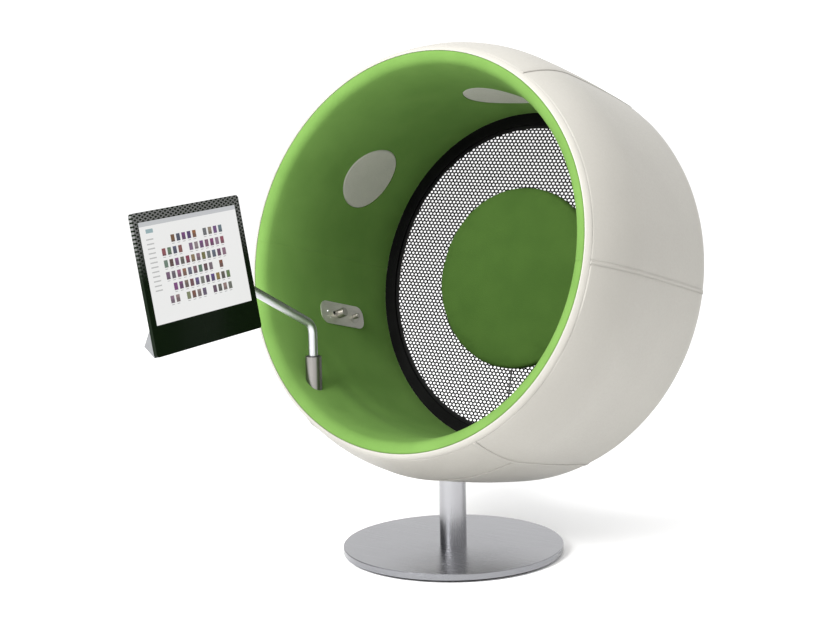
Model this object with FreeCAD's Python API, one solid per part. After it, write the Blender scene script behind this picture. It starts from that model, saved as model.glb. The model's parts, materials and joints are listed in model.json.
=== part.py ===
import FreeCAD, Part
import math
import os
from FreeCAD import Vector

# Pod lounge chair: an upholstered round pod on a swivelling column, with a netted back,
# speakers and a control plate in its wall, and a screen on a bent arm.
# World frame: origin on the floor under the column, the opening faces -Y, +Z is up.
# Pod frame: Z runs forward along the opening's axis, Y is up in the rim's plane, X is world X.

# Pod, overall
BALL_RADIUS = 625.0
POD_SETBACK = 20.0
POD_HEIGHT = 848.0
POD_TILT = 14.3
BELLY_RADIUS = 435.0
BELLY_FRONT = 198.0
SWEEP_RADIUS = 4300.0
SWEEP_BACK = 350.0
SHOULDER_RADIUS = 90.0

# Pod, wall layers from the outside in and from the inside out
COVER_THICK = 6.0
SHELL_THICK = 6.0
LINING_RADIUS = 508.0
LINING_FRONT = 200.0
LINING_BACK = -354.0
FLARE_START = 20.0
FLARE_RADIUS = 755.0
LINING_THICK = 8.0
FOAM_THICK = 22.0
INNER_THICK = 5.0
GORES = 6
GORE_GAP = 0.8
CROSS_SEAM = 30.0
COVER_HOLE = 3.0
SHELL_HOLE = 6.0
SEAM_WIDTH = 11.0
SEAM_RISE = 1.4
RIM_ROLL = 16.0
ROLL_WIDTH = 19.0
LIP_BULGE = 10.0
LIP_RISE = 3.0
LIP_PLAY = 0.4
RIM_FRAME_THICK = 11.0

# Netted back
RING_BAND = 36.0
RING_THICK = 9.0
NET_THICK = 1.6
NET_LAP = 8.0
NET_PITCH = 58.0
NET_HOLE = 38.0
NET_ROW = 0.78
NET_STRETCH = 1.15
NET_EDGE = 1.0
RING_SOFTEN = 2.0
BULKHEAD_THICK = 12.0
CUSHION_RADIUS = 281.0
CUSHION_THICK = 52.0
CUSHION_CROWN = 16.0
CUSHION_TUCK = 10.0
CLAMP_RADIUS = 110.0
CLAMP_THICK = 4.0
EXCITER_RADIUS = 42.0
EXCITER_DEPTH = 24.0
EXCITER_NOSE = 6.0
LEAD_RADIUS = 2.4
LEAD_OFFSET = 8.0

# Speakers in the wall
SPEAKER_ANGLES = {"left": -60.0, "top": 0.0, "right": 60.0}
SPEAKER_STATION = -118.0
SPEAKER_RADIUS = 103.0
COVER_PROUD = 0.6
CONE_RADIUS = 78.0
CONE_DEPTH = 34.0
CONE_PLAY = 3.0
CONE_WALL = 6.0
MAGNET_RADIUS = 38.0
MAGNET_DEPTH = 14.0
FLANGE_RADIUS = 96.0
FLANGE_THICK = 4.0

# Control plate
PLATE_ANGLE = -110.1
PLATE_STATION = -120.0
PLATE_LENGTH = 205.0
PLATE_WIDTH = 71.0
PLATE_THICK = 3.2
PLATE_CORNER = 28.0
PLATE_BORDER = 12.0
CONTROL_BOX_DEPTH = 42.0
CONTROL_BOX_WALL = 2.0
VOLUME_STATION = 19.0
VOLUME_RADIUS = 13.5
VOLUME_LENGTH = 24.0
SELECTOR_STATION = -56.0
SELECTOR_RADIUS = 7.6
SELECTOR_LENGTH = 17.0
SELECTOR_RING = 20.0
GROOVE_WIDTH = 1.4
GROOVE_DEPTH = 0.8
JACK_STATION = 41.0
JACK_RADIUS = 6.0
JACK_BORE = 3.2
JACK_DEPTH = 20.0
JACK_LIP = 0.4
JACK_END = 3.0
LED_PLACES = {"power_led": (73.0, 3.0, 2.6), "mode_led": (63.0, -17.0, 1.3)}
KNOB_SHAFT = 3.0
KNOB_BUSH = 8.0
KNOB_STANDOFF = 1.0

# Base and column
BASE_RADIUS = 320.0
BASE_THICK = 18.0
BASE_CHAMFER = 2.0
FOOT_HEIGHT = 8.0
FOOT_OUTER = 304.0
FOOT_WIDTH = 16.0
FOOT_COUNT = 3
FOOT_GAP_DEG = 8.0
COLUMN_RADIUS = 39.0
COLUMN_WALL = 5.0
COLUMN_TOP = 226.0
SPINDLE_RADIUS = 25.0
SPINDLE_FOOT = 70.0
SPINDLE_TAIL = 4.0
BUSH_HEIGHT = 40.0
BUSH_LIP = 2.0
BUSH_EDGE = 1.0
COLLAR_RADIUS = 34.0
COLLAR_HEIGHT = 21.5
HEAD_RADIUS = 80.0
HEAD_THICK = 8.0
RIB_SPACING = 120.0
RIB_THICK = 10.0
RIB_FRONT = 150.0
RIB_BACK = -320.0
RIB_SPREAD = 30.0
RIB_PLAY = 0.2
AMP_LENGTH = 150.0
AMP_HEIGHT = 46.0
AMP_ANGLE = 24.0
AMP_STATION = -240.0
AMP_CENTRE = 205.0

# Arm
ARM_X = -333.0
ARM_Y = -213.0
SOCKET_TOP = 579.0
SOCKET_FOOT = 437.0
SOCKET_RADIUS = 23.5
SOCKET_FLOOR = 10.0
SOCKET_BRIM = 26.0
SOCKET_BRIM_THICK = 6.0
ARM_RADIUS = 13.0
ARM_BEND = 42.0
ARM_KNEE = 671.0
ARM_SLOPE = 31.0
ARM_BUSH_RADIUS = 19.0
ARM_BUSH_LENGTH = 80.0
PIN_RADIUS = 9.0
PIN_BELOW = 14.0
PIN_ABOVE = 16.0
HEAD_BLOCK_RADIUS = 22.0
HEAD_BLOCK_BELOW = 13.5
HEAD_BLOCK_ABOVE = 21.0
WALL_STEPS = 40

# Screen, in its own frame: X to the viewer's right, Y up the screen, Z out of its face
SCREEN_CENTRE = Vector(-322.0, -679.4, 871.4)
SCREEN_AZIMUTH = 96.5
SCREEN_LEAN = 9.05
SCREEN_ROLL = 1.8
SCREEN_WIDTH = 460.0
SCREEN_HEIGHT = 372.5
SCREEN_CORNER = 10.0
BEZEL_THICK = 10.0
VIEW_WIDTH = 416.0
VIEW_HEIGHT = 267.0
VIEW_RISE = 27.0
PANEL_THICK = 3.0
PANEL_RECESS = 1.0
PANEL_PLAY = 0.2
BACK_DEPTH = 24.0
BACK_INSET = 34.0
BACK_SLOPE = 34.0
BACK_CORNER = 24.0
BACK_ABOVE_TRAY = 6.0
WEDGE_HEIGHT = 73.0
WEDGE_DEPTH = 27.0
WEDGE_KNEE = 33.0
WEDGE_WALL = 2.0
TRAY_INSET = 1.0
CRADLE_WIDTH = 170.0
CRADLE_THICK = 4.0
CRADLE_CORNER = 14.0
CRADLE_MARGIN = 6.0
TILT_RISE = 50.0
TILT_BACK = 75.0
TILT_PIN = 9.0
TILT_REACH = 160.0
KNUCKLE_RADIUS = 18.0
KNUCKLE_WIDTH = 22.0
KNUCKLE_SPACING = 84.0
CAP_GAP = 1.2
CAP_EDGE = 5.0
CAP_THICK = 6.0

# Clearances
RUNNING = 0.05
BODY_GAP = 0.5
CUT_GAP = 1.0
SOCKET_PLAY = 0.3

X_AXIS = Vector(1, 0, 0)
Z_AXIS = Vector(0, 0, 1)
ZERO = Vector(0, 0, 0)


def frame_of(x_dir, y_dir, z_dir, origin):
    """A placement from three axes and an origin."""
    m = FreeCAD.Matrix(
        x_dir.x, y_dir.x, z_dir.x, origin.x,
        x_dir.y, y_dir.y, z_dir.y, origin.y,
        x_dir.z, y_dir.z, z_dir.z, origin.z,
        0, 0, 0, 1)
    return FreeCAD.Placement(m)


def moved(shape, placement):
    """A copy of a shape carried into another frame."""
    out = shape.copy()
    out.Placement = placement.multiply(out.Placement)
    return out


def save(name, shape):
    shape.exportStep("parts/" + name + ".step")


POD = FreeCAD.Placement(
    Vector(0, POD_SETBACK, POD_HEIGHT), FreeCAD.Rotation(X_AXIS, 90.0 - POD_TILT))


def in_pod(name, shape):
    save(name, moved(shape, POD))


def to_pod(shape):
    """A shape of the world frame, seen from the pod's frame."""
    return moved(shape, POD.inverse())


def radial_frame(angle, station, radius):
    """Frame on the pod's wall: Z points out of the wall, X forward along the pod's axis."""
    a = math.radians(angle)
    out = Vector(math.sin(a), math.cos(a), 0)
    side = out.cross(Z_AXIS)
    return frame_of(Z_AXIS, side, out, out * radius + Z_AXIS * station)


def point(radius, station):
    return Vector(radius, 0, station)


def arc(a, b, c):
    return Part.Arc(a, b, c).toShape()


def line(a, b):
    return Part.LineSegment(a, b).toShape()


def face_of(edges):
    return Part.Face(Part.Wire(Part.__sortEdges__(edges)))


def turn(face, start=0.0, sweep=360.0):
    """Revolve a section about the pod's axis; angles run from the top towards +X."""
    body = face.copy()
    body.rotate(ZERO, Z_AXIS, 90.0 - start - sweep)
    return body.revolve(ZERO, Z_AXIS, sweep)


def ring_section(r_in, r_out, s_back, s_front):
    pts = [point(r_in, s_back), point(r_out, s_back), point(r_out, s_front), point(r_in, s_front)]
    return face_of([line(pts[i], pts[(i + 1) % 4]) for i in range(4)])


def cylinder(radius, z_low, z_high, x=0.0, y=0.0):
    return Part.makeCylinder(radius, z_high - z_low, Vector(x, y, z_low))


def tube(r_out, r_in, z_low, z_high, x=0.0, y=0.0):
    return cylinder(r_out, z_low, z_high, x, y).cut(cylinder(r_in, z_low, z_high, x, y))


def level_edges(shape, level):
    """Flat edges of a shape that lie at a level."""
    near = 1e-6
    return [e for e in shape.Edges
            if abs(e.BoundBox.ZMin - level) < near and e.BoundBox.ZLength < near]


def arc_point(centre_r, centre_s, radius, angle):
    """A point on a profile arc; the angle is measured from straight out, towards the front."""
    return point(centre_r + radius * math.cos(angle), centre_s + radius * math.sin(angle))


# Outer profile: a belly arc, a long gentle sweep and a tight shoulder, all tangent
BELLY_ANGLE = math.asin(BELLY_FRONT / BELLY_RADIUS)
SWEEP_ANGLE = math.asin(SWEEP_BACK / SWEEP_RADIUS)
SHOULDER_R = BALL_RADIUS - SWEEP_RADIUS + (SWEEP_RADIUS - SHOULDER_RADIUS) * math.cos(SWEEP_ANGLE)
SHOULDER_S = -(SWEEP_RADIUS - SHOULDER_RADIUS) * math.sin(SWEEP_ANGLE)
BACK_FACE = SHOULDER_S - SHOULDER_RADIUS


def outer_curve(inset):
    """Edges and ends of the outside profile, moved inward by an inset, front to back."""
    belly = (BALL_RADIUS - BELLY_RADIUS, 0.0, BELLY_RADIUS - inset)
    sweep = (BALL_RADIUS - SWEEP_RADIUS, 0.0, SWEEP_RADIUS - inset)
    shoulder = (SHOULDER_R, SHOULDER_S, SHOULDER_RADIUS - inset)
    mid = -(SWEEP_ANGLE + math.pi / 2) / 2
    p0 = arc_point(*belly, BELLY_ANGLE)
    p1 = arc_point(*belly, 0.0)
    p2 = arc_point(*sweep, -SWEEP_ANGLE)
    p3 = arc_point(*shoulder, -math.pi / 2)
    edges = [
        arc(p0, arc_point(*belly, BELLY_ANGLE / 2), p1),
        arc(p1, arc_point(*sweep, -SWEEP_ANGLE / 2), p2),
        arc(p2, arc_point(*shoulder, mid), p3)]
    return edges, p0, p3


def outer_radius(station, inset):
    """Radius of the outside profile at a station ahead of the shoulder."""
    if station > 0:
        reach = BELLY_RADIUS - inset
        return BALL_RADIUS - BELLY_RADIUS + math.sqrt(reach ** 2 - station ** 2)
    reach = SWEEP_RADIUS - inset
    return BALL_RADIUS - SWEEP_RADIUS + math.sqrt(reach ** 2 - station ** 2)


FLARE_ANGLE = math.asin((LINING_FRONT - FLARE_START) / FLARE_RADIUS)


def inner_curve(outset):
    """Edges and ends of the inside profile, moved into the wall by an outset."""
    reach = FLARE_RADIUS - outset
    centre = LINING_RADIUS + FLARE_RADIUS
    p0 = point(centre - reach * math.cos(FLARE_ANGLE), FLARE_START + reach * math.sin(FLARE_ANGLE))
    pm = point(
        centre - reach * math.cos(FLARE_ANGLE / 2), FLARE_START + reach * math.sin(FLARE_ANGLE / 2))
    p1 = point(LINING_RADIUS + outset, FLARE_START)
    p2 = point(LINING_RADIUS + outset, LINING_BACK)
    return [arc(p0, pm, p1), line(p1, p2)], p0, p2


def inner_radius(station, outset):
    """Radius of the inside profile at a station, moved into the wall by an outset."""
    ahead = max(0.0, station - FLARE_START)
    return LINING_RADIUS + FLARE_RADIUS - math.sqrt((FLARE_RADIUS - outset) ** 2 - ahead ** 2)


def belly_arc(inset, back, front):
    """Part of the outside profile's belly between two stations ahead of its widest place."""
    stations = (back, (back + front) / 2, front)
    return arc(*[point(outer_radius(s, inset), s) for s in stations])


def flare_arc(outset, back, front):
    """Part of the inside profile's flare between two stations."""
    stations = (back, (back + front) / 2, front)
    return arc(*[point(inner_radius(s, outset), s) for s in stations])


def shoulder_point(inset, station):
    """Point of the outside profile's shoulder at a station."""
    drop = SHOULDER_S - station
    return point(SHOULDER_R + math.sqrt((SHOULDER_RADIUS - inset) ** 2 - drop ** 2), station)


def band(curve, near, far):
    """Closed section between two offsets of a profile."""
    a, a0, a1 = curve(near)
    b, b0, b1 = curve(far)
    return face_of(a + b + [line(a0, b0), line(a1, b1)])


# Depths behind the lining's face of its back, the foam's back and the inner shell's back
LINING_FAR = LINING_THICK
FOAM_FAR = LINING_FAR + FOAM_THICK
INNER_FAR = FOAM_FAR + INNER_THICK
OUTER_FAR = COVER_THICK + SHELL_THICK


# Cutting tools shared by the layers of the wall

def speaker_tools(radius, name):
    sag = LINING_RADIUS - math.sqrt(LINING_RADIUS ** 2 - radius ** 2)
    low = LINING_RADIUS - sag - CUT_GAP
    frame = radial_frame(SPEAKER_ANGLES[name], SPEAKER_STATION, low)
    return moved(Part.makeCylinder(radius, LINING_RADIUS + INNER_FAR + CUT_GAP - low), frame)


def plate_tool(margin):
    """Rectangular hole for the control box, in the wall's frame."""
    length = PLATE_LENGTH - 2 * PLATE_BORDER + 2 * margin
    width = PLATE_WIDTH - 2 * PLATE_BORDER + 2 * margin
    deep = 2 * (INNER_FAR + CONTROL_BOX_DEPTH)
    block = Part.makeBox(length, width, deep, Vector(-length / 2, -width / 2, -deep / 2))
    return moved(block, radial_frame(PLATE_ANGLE, PLATE_STATION, LINING_RADIUS))


def socket_tool(margin):
    return to_pod(cylinder(SOCKET_RADIUS + margin, SOCKET_FOOT, SOCKET_TOP, ARM_X, ARM_Y))


def spindle_tool(radius):
    return to_pod(cylinder(radius, 0, COLUMN_TOP + COLLAR_HEIGHT))


# Base and column

def build_base():
    plate_low = FOOT_HEIGHT
    plate_top = FOOT_HEIGHT + BASE_THICK
    plate = cylinder(BASE_RADIUS, plate_low, plate_top)
    plate = plate.makeChamfer(BASE_CHAMFER, level_edges(plate, plate_top))
    save("base_plate", plate)
    section = ring_section(FOOT_OUTER - FOOT_WIDTH, FOOT_OUTER, 0, FOOT_HEIGHT)
    sweep = 360.0 / FOOT_COUNT - FOOT_GAP_DEG
    for k in range(FOOT_COUNT):
        foot = section.copy()
        foot.rotate(ZERO, Z_AXIS, k * 360.0 / FOOT_COUNT + FOOT_GAP_DEG / 2)
        save("foot_ring_%d" % (k + 1), foot.revolve(ZERO, Z_AXIS, sweep))
    bore = COLUMN_RADIUS - COLUMN_WALL
    save("column_tube", tube(COLUMN_RADIUS, bore, plate_top, COLUMN_TOP))
    bush_bore = SPINDLE_RADIUS + RUNNING
    low = SPINDLE_FOOT + SPINDLE_TAIL
    save("lower_bush", tube(bore, bush_bore, low, low + BUSH_HEIGHT))
    upper = tube(bore, bush_bore, COLUMN_TOP - BUSH_HEIGHT, COLUMN_TOP)
    lip = tube(COLUMN_RADIUS - BUSH_EDGE, bush_bore, COLUMN_TOP, COLUMN_TOP + BUSH_LIP)
    save("upper_bush", upper.fuse(lip).removeSplitter())


# Swivelling frame under the pod

def build_frame():
    collar_low = COLUMN_TOP + BUSH_LIP + BODY_GAP
    head_low = collar_low + COLLAR_HEIGHT
    head_top = head_low + HEAD_THICK
    shaft = cylinder(SPINDLE_RADIUS, SPINDLE_FOOT, collar_low)
    collar = cylinder(COLLAR_RADIUS, collar_low, head_low)
    head = cylinder(HEAD_RADIUS, head_low, head_top)
    save("swivel_spindle", shaft.fuse(collar).fuse(head).removeSplitter())
    wall = turn(rib_section(), 180.0 - RIB_SPREAD, 2 * RIB_SPREAD)
    ribs = []
    for side in (-1, 1):
        x_low = side * RIB_SPACING / 2 - RIB_THICK / 2
        slab = Part.makeBox(
            RIB_THICK, BALL_RADIUS, RIB_FRONT - RIB_BACK, Vector(x_low, -BALL_RADIUS, RIB_BACK))
        rib = slab.common(wall)
        ribs.append(rib.cut(to_pod(cylinder(HEAD_RADIUS + RIB_PLAY, 0, head_top))))
    in_pod("pod_ribs", Part.makeCompound(ribs))


def rib_section():
    """Section of the hollow between the inner and the outer shell, as far as the ribs reach."""
    a = point(LINING_RADIUS + INNER_FAR, RIB_BACK)
    b = point(outer_radius(RIB_BACK, OUTER_FAR), RIB_BACK)
    sweep_mid = point(outer_radius(RIB_BACK / 2, OUTER_FAR), RIB_BACK / 2)
    c = point(outer_radius(0.0, OUTER_FAR), 0.0)
    d = point(outer_radius(RIB_FRONT, OUTER_FAR), RIB_FRONT)
    e = point(inner_radius(RIB_FRONT, INNER_FAR), RIB_FRONT)
    f = point(LINING_RADIUS + INNER_FAR, FLARE_START)
    return face_of([
        line(a, b), arc(b, sweep_mid, c), belly_arc(OUTER_FAR, 0.0, RIB_FRONT), line(d, e),
        flare_arc(INNER_FAR, FLARE_START, RIB_FRONT), line(f, a)])


# Pod shells, covers and lining

def build_outside():
    shell = turn(band(outer_curve, COVER_THICK, OUTER_FAR))
    shell = shell.cut(spindle_tool(COLUMN_RADIUS + SHELL_HOLE))
    in_pod("outer_shell", shell)
    section = band(outer_curve, 0.0, COVER_THICK)
    pitch = 360.0 / GORES
    gap = math.degrees(GORE_GAP / BALL_RADIUS)
    names = ["top", "upper_right", "lower_right", "bottom", "lower_left", "upper_left"]
    for k, name in enumerate(names):
        gore = turn(section, k * pitch - pitch / 2 + gap / 2, pitch - gap)
        if name != "bottom":
            in_pod("cover_" + name, gore)
            continue
        gore = gore.cut(spindle_tool(COLUMN_RADIUS + COVER_HOLE))
        reach = 2 * BALL_RADIUS
        ahead = Part.makeBox(reach, reach, reach, Vector(-reach / 2, -reach, CROSS_SEAM + GORE_GAP / 2))
        behind = Part.makeBox(reach, reach, reach,
                              Vector(-reach / 2, -reach, CROSS_SEAM - GORE_GAP / 2 - reach))
        in_pod("cover_bottom_front", gore.common(ahead))
        in_pod("cover_bottom_rear", gore.common(behind))


def build_seams():
    """Felled seams: thin raised strips over the joints between the covers."""
    strip = band(outer_curve, -SEAM_RISE, 0.0)
    half = math.degrees(SEAM_WIDTH / 2 / BALL_RADIUS)
    pitch = 360.0 / GORES
    strips = [turn(strip, (k + 0.5) * pitch - half, 2 * half) for k in range(GORES)]
    reach = 2 * BALL_RADIUS
    slab = Part.makeBox(reach, reach, SEAM_WIDTH, Vector(-reach / 2, -reach, CROSS_SEAM - SEAM_WIDTH / 2))
    cross = turn(strip, 180.0 - pitch / 2 + half, pitch - 2 * half).common(slab)
    in_pod("cover_seams", Part.makeCompound(strips + cross.Solids))


def build_rim():
    lip_in = inner_curve(0.0)[1]
    lining_end = inner_curve(LINING_FAR)[1]
    cover_end = outer_curve(0.0)[1]
    under_end = outer_curve(COVER_THICK)[1]
    shell_end = outer_curve(OUTER_FAR)[1]
    nose = point(cover_end.x - ROLL_WIDTH, cover_end.z + RIM_ROLL * 0.62)
    roll_mid = point(cover_end.x - ROLL_WIDTH * 0.26, cover_end.z + RIM_ROLL * 0.42)
    seat = point(nose.x, lip_in.z)
    in_pod("rim_welt", turn(face_of([
        arc(cover_end, roll_mid, nose), line(nose, seat), line(seat, under_end),
        line(under_end, cover_end)])))
    a = lip_in
    b = point(nose.x - LIP_PLAY, lip_in.z)
    front = point((a.x + b.x) / 2, nose.z + LIP_RISE)
    a_up = point(a.x, front.z - LIP_BULGE)
    b_up = point(b.x, nose.z - LIP_RISE / 2)
    lip_mid_a = point(a.x + LIP_BULGE * 0.36, front.z - LIP_RISE * 0.93)
    lip_mid_b = point(b.x - LIP_BULGE * 0.5, front.z - LIP_RISE * 0.3)
    in_pod("rim_lip", turn(face_of([
        line(a, a_up), arc(a_up, lip_mid_a, front), arc(front, lip_mid_b, b_up),
        line(b_up, b), line(b, a)])))
    back = rim_frame_back()
    frame_in = point(inner_radius(back, LINING_FAR), back)
    frame_out = point(outer_radius(back, OUTER_FAR), back)
    corner = point(lining_end.x, lip_in.z)
    in_pod("rim_frame", turn(face_of([
        flare_arc(LINING_FAR, back, lining_end.z), line(lining_end, corner), line(corner, seat),
        line(seat, under_end), line(under_end, shell_end),
        belly_arc(OUTER_FAR, back, shell_end.z), line(frame_out, frame_in)])))


def rim_frame_back():
    """Station of the rim frame's back, where the foam and the inner shell end."""
    return outer_curve(OUTER_FAR)[1].z - RIM_FRAME_THICK


def clip_front(shape, station):
    """Keep what lies behind a station."""
    reach = 3 * BALL_RADIUS
    return shape.common(Part.makeBox(reach, reach, reach, Vector(-reach / 2, -reach / 2, station - reach)))


def build_inside():
    lining = band(inner_curve, 0.0, LINING_FAR)
    foam = band(inner_curve, LINING_FAR, FOAM_FAR)
    inner = band(inner_curve, FOAM_FAR, INNER_FAR)
    front_end = rim_frame_back()
    gap = math.degrees(GORE_GAP / LINING_RADIUS)
    pitch = 360.0 / GORES
    for half, start in {"upper": -90.0, "lower": 90.0}.items():
        upper = half == "upper"
        skin = turn(lining, start + gap / 2, 180.0 - gap)
        in_pod("lining_" + half, open_wall(skin, SPEAKER_RADIUS + CUT_GAP, upper))
        pads = []
        for k in range(GORES // 2):
            pad = clip_front(turn(foam, start + k * pitch + gap / 2, pitch - gap), front_end)
            pads += open_wall(pad, FLANGE_RADIUS + CUT_GAP, upper).Solids
        in_pod("foam_" + half, Part.makeCompound(pads))
    shell = clip_front(turn(inner), front_end)
    shell = open_wall(shell, CONE_RADIUS + CONE_PLAY, True)
    in_pod("inner_shell", open_wall(shell, 0.0, False))


def open_wall(layer, speaker_hole, upper):
    """Holes in a layer of the wall: the speakers' above, the plate's and the arm's below."""
    if upper:
        for name in SPEAKER_ANGLES:
            layer = layer.cut(speaker_tools(speaker_hole, name))
        return layer
    return layer.cut(plate_tool(CUT_GAP)).cut(socket_tool(SOCKET_PLAY))


def build_back():
    ring_back = LINING_BACK - RING_THICK
    inner = LINING_RADIUS - RING_BAND
    in_pod("back_ring", turn(face_of([
        line(point(inner, ring_back), point(LINING_RADIUS, ring_back)),
        line(point(LINING_RADIUS, ring_back), point(LINING_RADIUS, LINING_BACK)),
        line(point(LINING_RADIUS, LINING_BACK), point(inner + RING_SOFTEN, LINING_BACK)),
        line(point(inner + RING_SOFTEN, LINING_BACK), point(inner, LINING_BACK - RING_SOFTEN)),
        line(point(inner, LINING_BACK - RING_SOFTEN), point(inner, ring_back))])))
    net_radius = inner + NET_LAP
    in_pod("back_net", net(net_radius, ring_back - NET_THICK, ring_back))
    bulk_back = ring_back - BULKHEAD_THICK
    bulk_in = net_radius + NET_EDGE
    step = point(LINING_RADIUS, LINING_BACK)
    step_back = point(LINING_RADIUS, ring_back)
    outs = [shoulder_point(OUTER_FAR, s) for s in (LINING_BACK, ring_back, bulk_back)]
    in_pod("back_bulkhead", turn(face_of([
        line(point(bulk_in, bulk_back), point(bulk_in, ring_back)),
        line(point(bulk_in, ring_back), step_back), line(step_back, step), line(step, outs[0]),
        arc(*outs), line(outs[2], point(bulk_in, bulk_back))])))
    width = SHOULDER_R - LINING_RADIUS
    a = point(LINING_RADIUS, bulk_back)
    b = point(SHOULDER_R, bulk_back)
    c = point(SHOULDER_R, BACK_FACE)
    d = point(LINING_RADIUS, BACK_FACE + width * 0.8)
    m = point(LINING_RADIUS + width * 0.3, BACK_FACE + width * 0.22)
    in_pod("back_trim", turn(face_of([line(a, b), line(b, c), arc(c, m, d), line(d, a)])))


def net(radius, low, high):
    """Round net: one face with staggered six-sided gaps, thickened."""
    wires = [Part.Wire(Part.makeCircle(radius, Vector(0, 0, low)))]
    row_step = NET_PITCH * NET_ROW
    rows = int(radius / row_step) + 1
    across = NET_HOLE * NET_STRETCH
    reach = radius - NET_LAP - NET_HOLE * 0.62
    for j in range(-rows, rows + 1):
        y = j * row_step
        shift = NET_PITCH / 2 if j % 2 else 0.0
        for i in range(-rows, rows + 1):
            x = i * NET_PITCH + shift
            if math.hypot(x, y) > reach:
                continue
            pts = []
            for k in range(6):
                a = math.radians(60 * k + 30)
                pts.append(Vector(x + across / 2 * math.cos(a), y + NET_HOLE / 2 * math.sin(a), low))
            wires.append(Part.makePolygon(pts + [pts[0]]))
    face = Part.Face(wires)
    face.validate()
    return face.extrude(Vector(0, 0, high - low))


def build_cushion():
    back = LINING_BACK - RING_THICK
    edge_front = back + CUSHION_THICK - CUSHION_CROWN
    tuck = CUSHION_RADIUS - CUSHION_TUCK
    centre_back = point(0, back)
    centre_front = point(0, back + CUSHION_THICK)
    a = point(tuck, back)
    b = point(CUSHION_RADIUS, (back + edge_front) / 2)
    c = point(tuck, edge_front)
    crown_radius = (tuck ** 2 + CUSHION_CROWN ** 2) / (2 * CUSHION_CROWN)
    crown_drop = crown_radius - math.sqrt(crown_radius ** 2 - (tuck / 2) ** 2)
    crown_mid = point(tuck / 2, centre_front.z - crown_drop)
    cushion = turn(face_of([
        line(centre_back, a), arc(a, b, c),
        arc(c, crown_mid, centre_front), line(centre_front, centre_back)]))
    in_pod("back_cushion", cushion)
    net_back = back - NET_THICK
    clamp_back = net_back - CLAMP_THICK
    in_pod("cushion_clamp", cylinder(CLAMP_RADIUS, clamp_back, net_back))
    can_back = clamp_back - EXCITER_DEPTH
    can = cylinder(EXCITER_RADIUS, can_back, clamp_back)
    nose = Part.makeCone(
        EXCITER_RADIUS * 0.6, EXCITER_RADIUS, EXCITER_NOSE, Vector(0, 0, can_back - EXCITER_NOSE))
    in_pod("exciter", can.fuse(nose).removeSplitter())
    lead = Part.makeCylinder(
        LEAD_RADIUS, LINING_RADIUS - RING_BAND - tuck,
        Vector(LEAD_OFFSET, -tuck, back + LEAD_RADIUS), Vector(0, -1, 0))
    in_pod("exciter_lead", lead.cut(cushion))


def build_speakers():
    cover_face = tube(LINING_RADIUS + LINING_FAR, LINING_RADIUS - COVER_PROUD, LINING_BACK, LINING_FRONT)
    shell_near = LINING_RADIUS + FOAM_FAR
    seat = math.sqrt(shell_near ** 2 - FLANGE_RADIUS ** 2)
    room = cylinder(shell_near, LINING_BACK, LINING_FRONT)
    cone_low = CONE_RADIUS - CONE_WALL
    flange_front = seat - FLANGE_THICK
    for name, angle in SPEAKER_ANGLES.items():
        in_pod("speaker_cover_" + name, speaker_tools(SPEAKER_RADIUS, name).common(cover_face))
        frame = radial_frame(angle, SPEAKER_STATION, flange_front)
        rise = shell_near - flange_front
        flange = Part.makeCylinder(FLANGE_RADIUS, rise + FLANGE_THICK)
        flange = flange.cut(Part.makeCylinder(cone_low, rise + FLANGE_THICK))
        flange = to_wall(room, frame).common(flange)
        outside = Part.makeCone(CONE_RADIUS, MAGNET_RADIUS, CONE_DEPTH, Vector(0, 0, FLANGE_THICK))
        inside = Part.makeCone(
            cone_low, MAGNET_RADIUS * 0.63, CONE_DEPTH - CONE_WALL, Vector(0, 0, FLANGE_THICK))
        magnet = Part.makeCylinder(MAGNET_RADIUS, MAGNET_DEPTH, Vector(0, 0, FLANGE_THICK + CONE_DEPTH))
        driver = flange.fuse(outside.cut(inside)).fuse(magnet).removeSplitter()
        in_pod("driver_" + name, moved(driver, frame))


def to_wall(shape, frame):
    """A shape of the pod's frame, seen from a frame on its wall."""
    return moved(shape, frame.inverse())


def rounded_plate(width, height, corner, low, high):
    """Rounded rectangle about the origin, extruded between two levels."""
    w = width / 2
    h = height / 2
    k = corner * (1 - math.sqrt(0.5))
    edges = []
    for sx, sy in ((1, 1), (-1, 1), (-1, -1), (1, -1)):
        a = Vector(sx * w, sy * (h - corner), low)
        b = Vector(sx * (w - corner), sy * h, low)
        m = Vector(sx * (w - k), sy * (h - k), low)
        edges.append(arc(a, m, b))
    tops = [Vector(-w + corner, h, low), Vector(w - corner, h, low)]
    bottoms = [Vector(-w + corner, -h, low), Vector(w - corner, -h, low)]
    rights = [Vector(w, -h + corner, low), Vector(w, h - corner, low)]
    lefts = [Vector(-w, -h + corner, low), Vector(-w, h - corner, low)]
    edges += [line(*pair) for pair in (tops, bottoms, rights, lefts)]
    return face_of(edges).extrude(Vector(0, 0, high - low))


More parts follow.
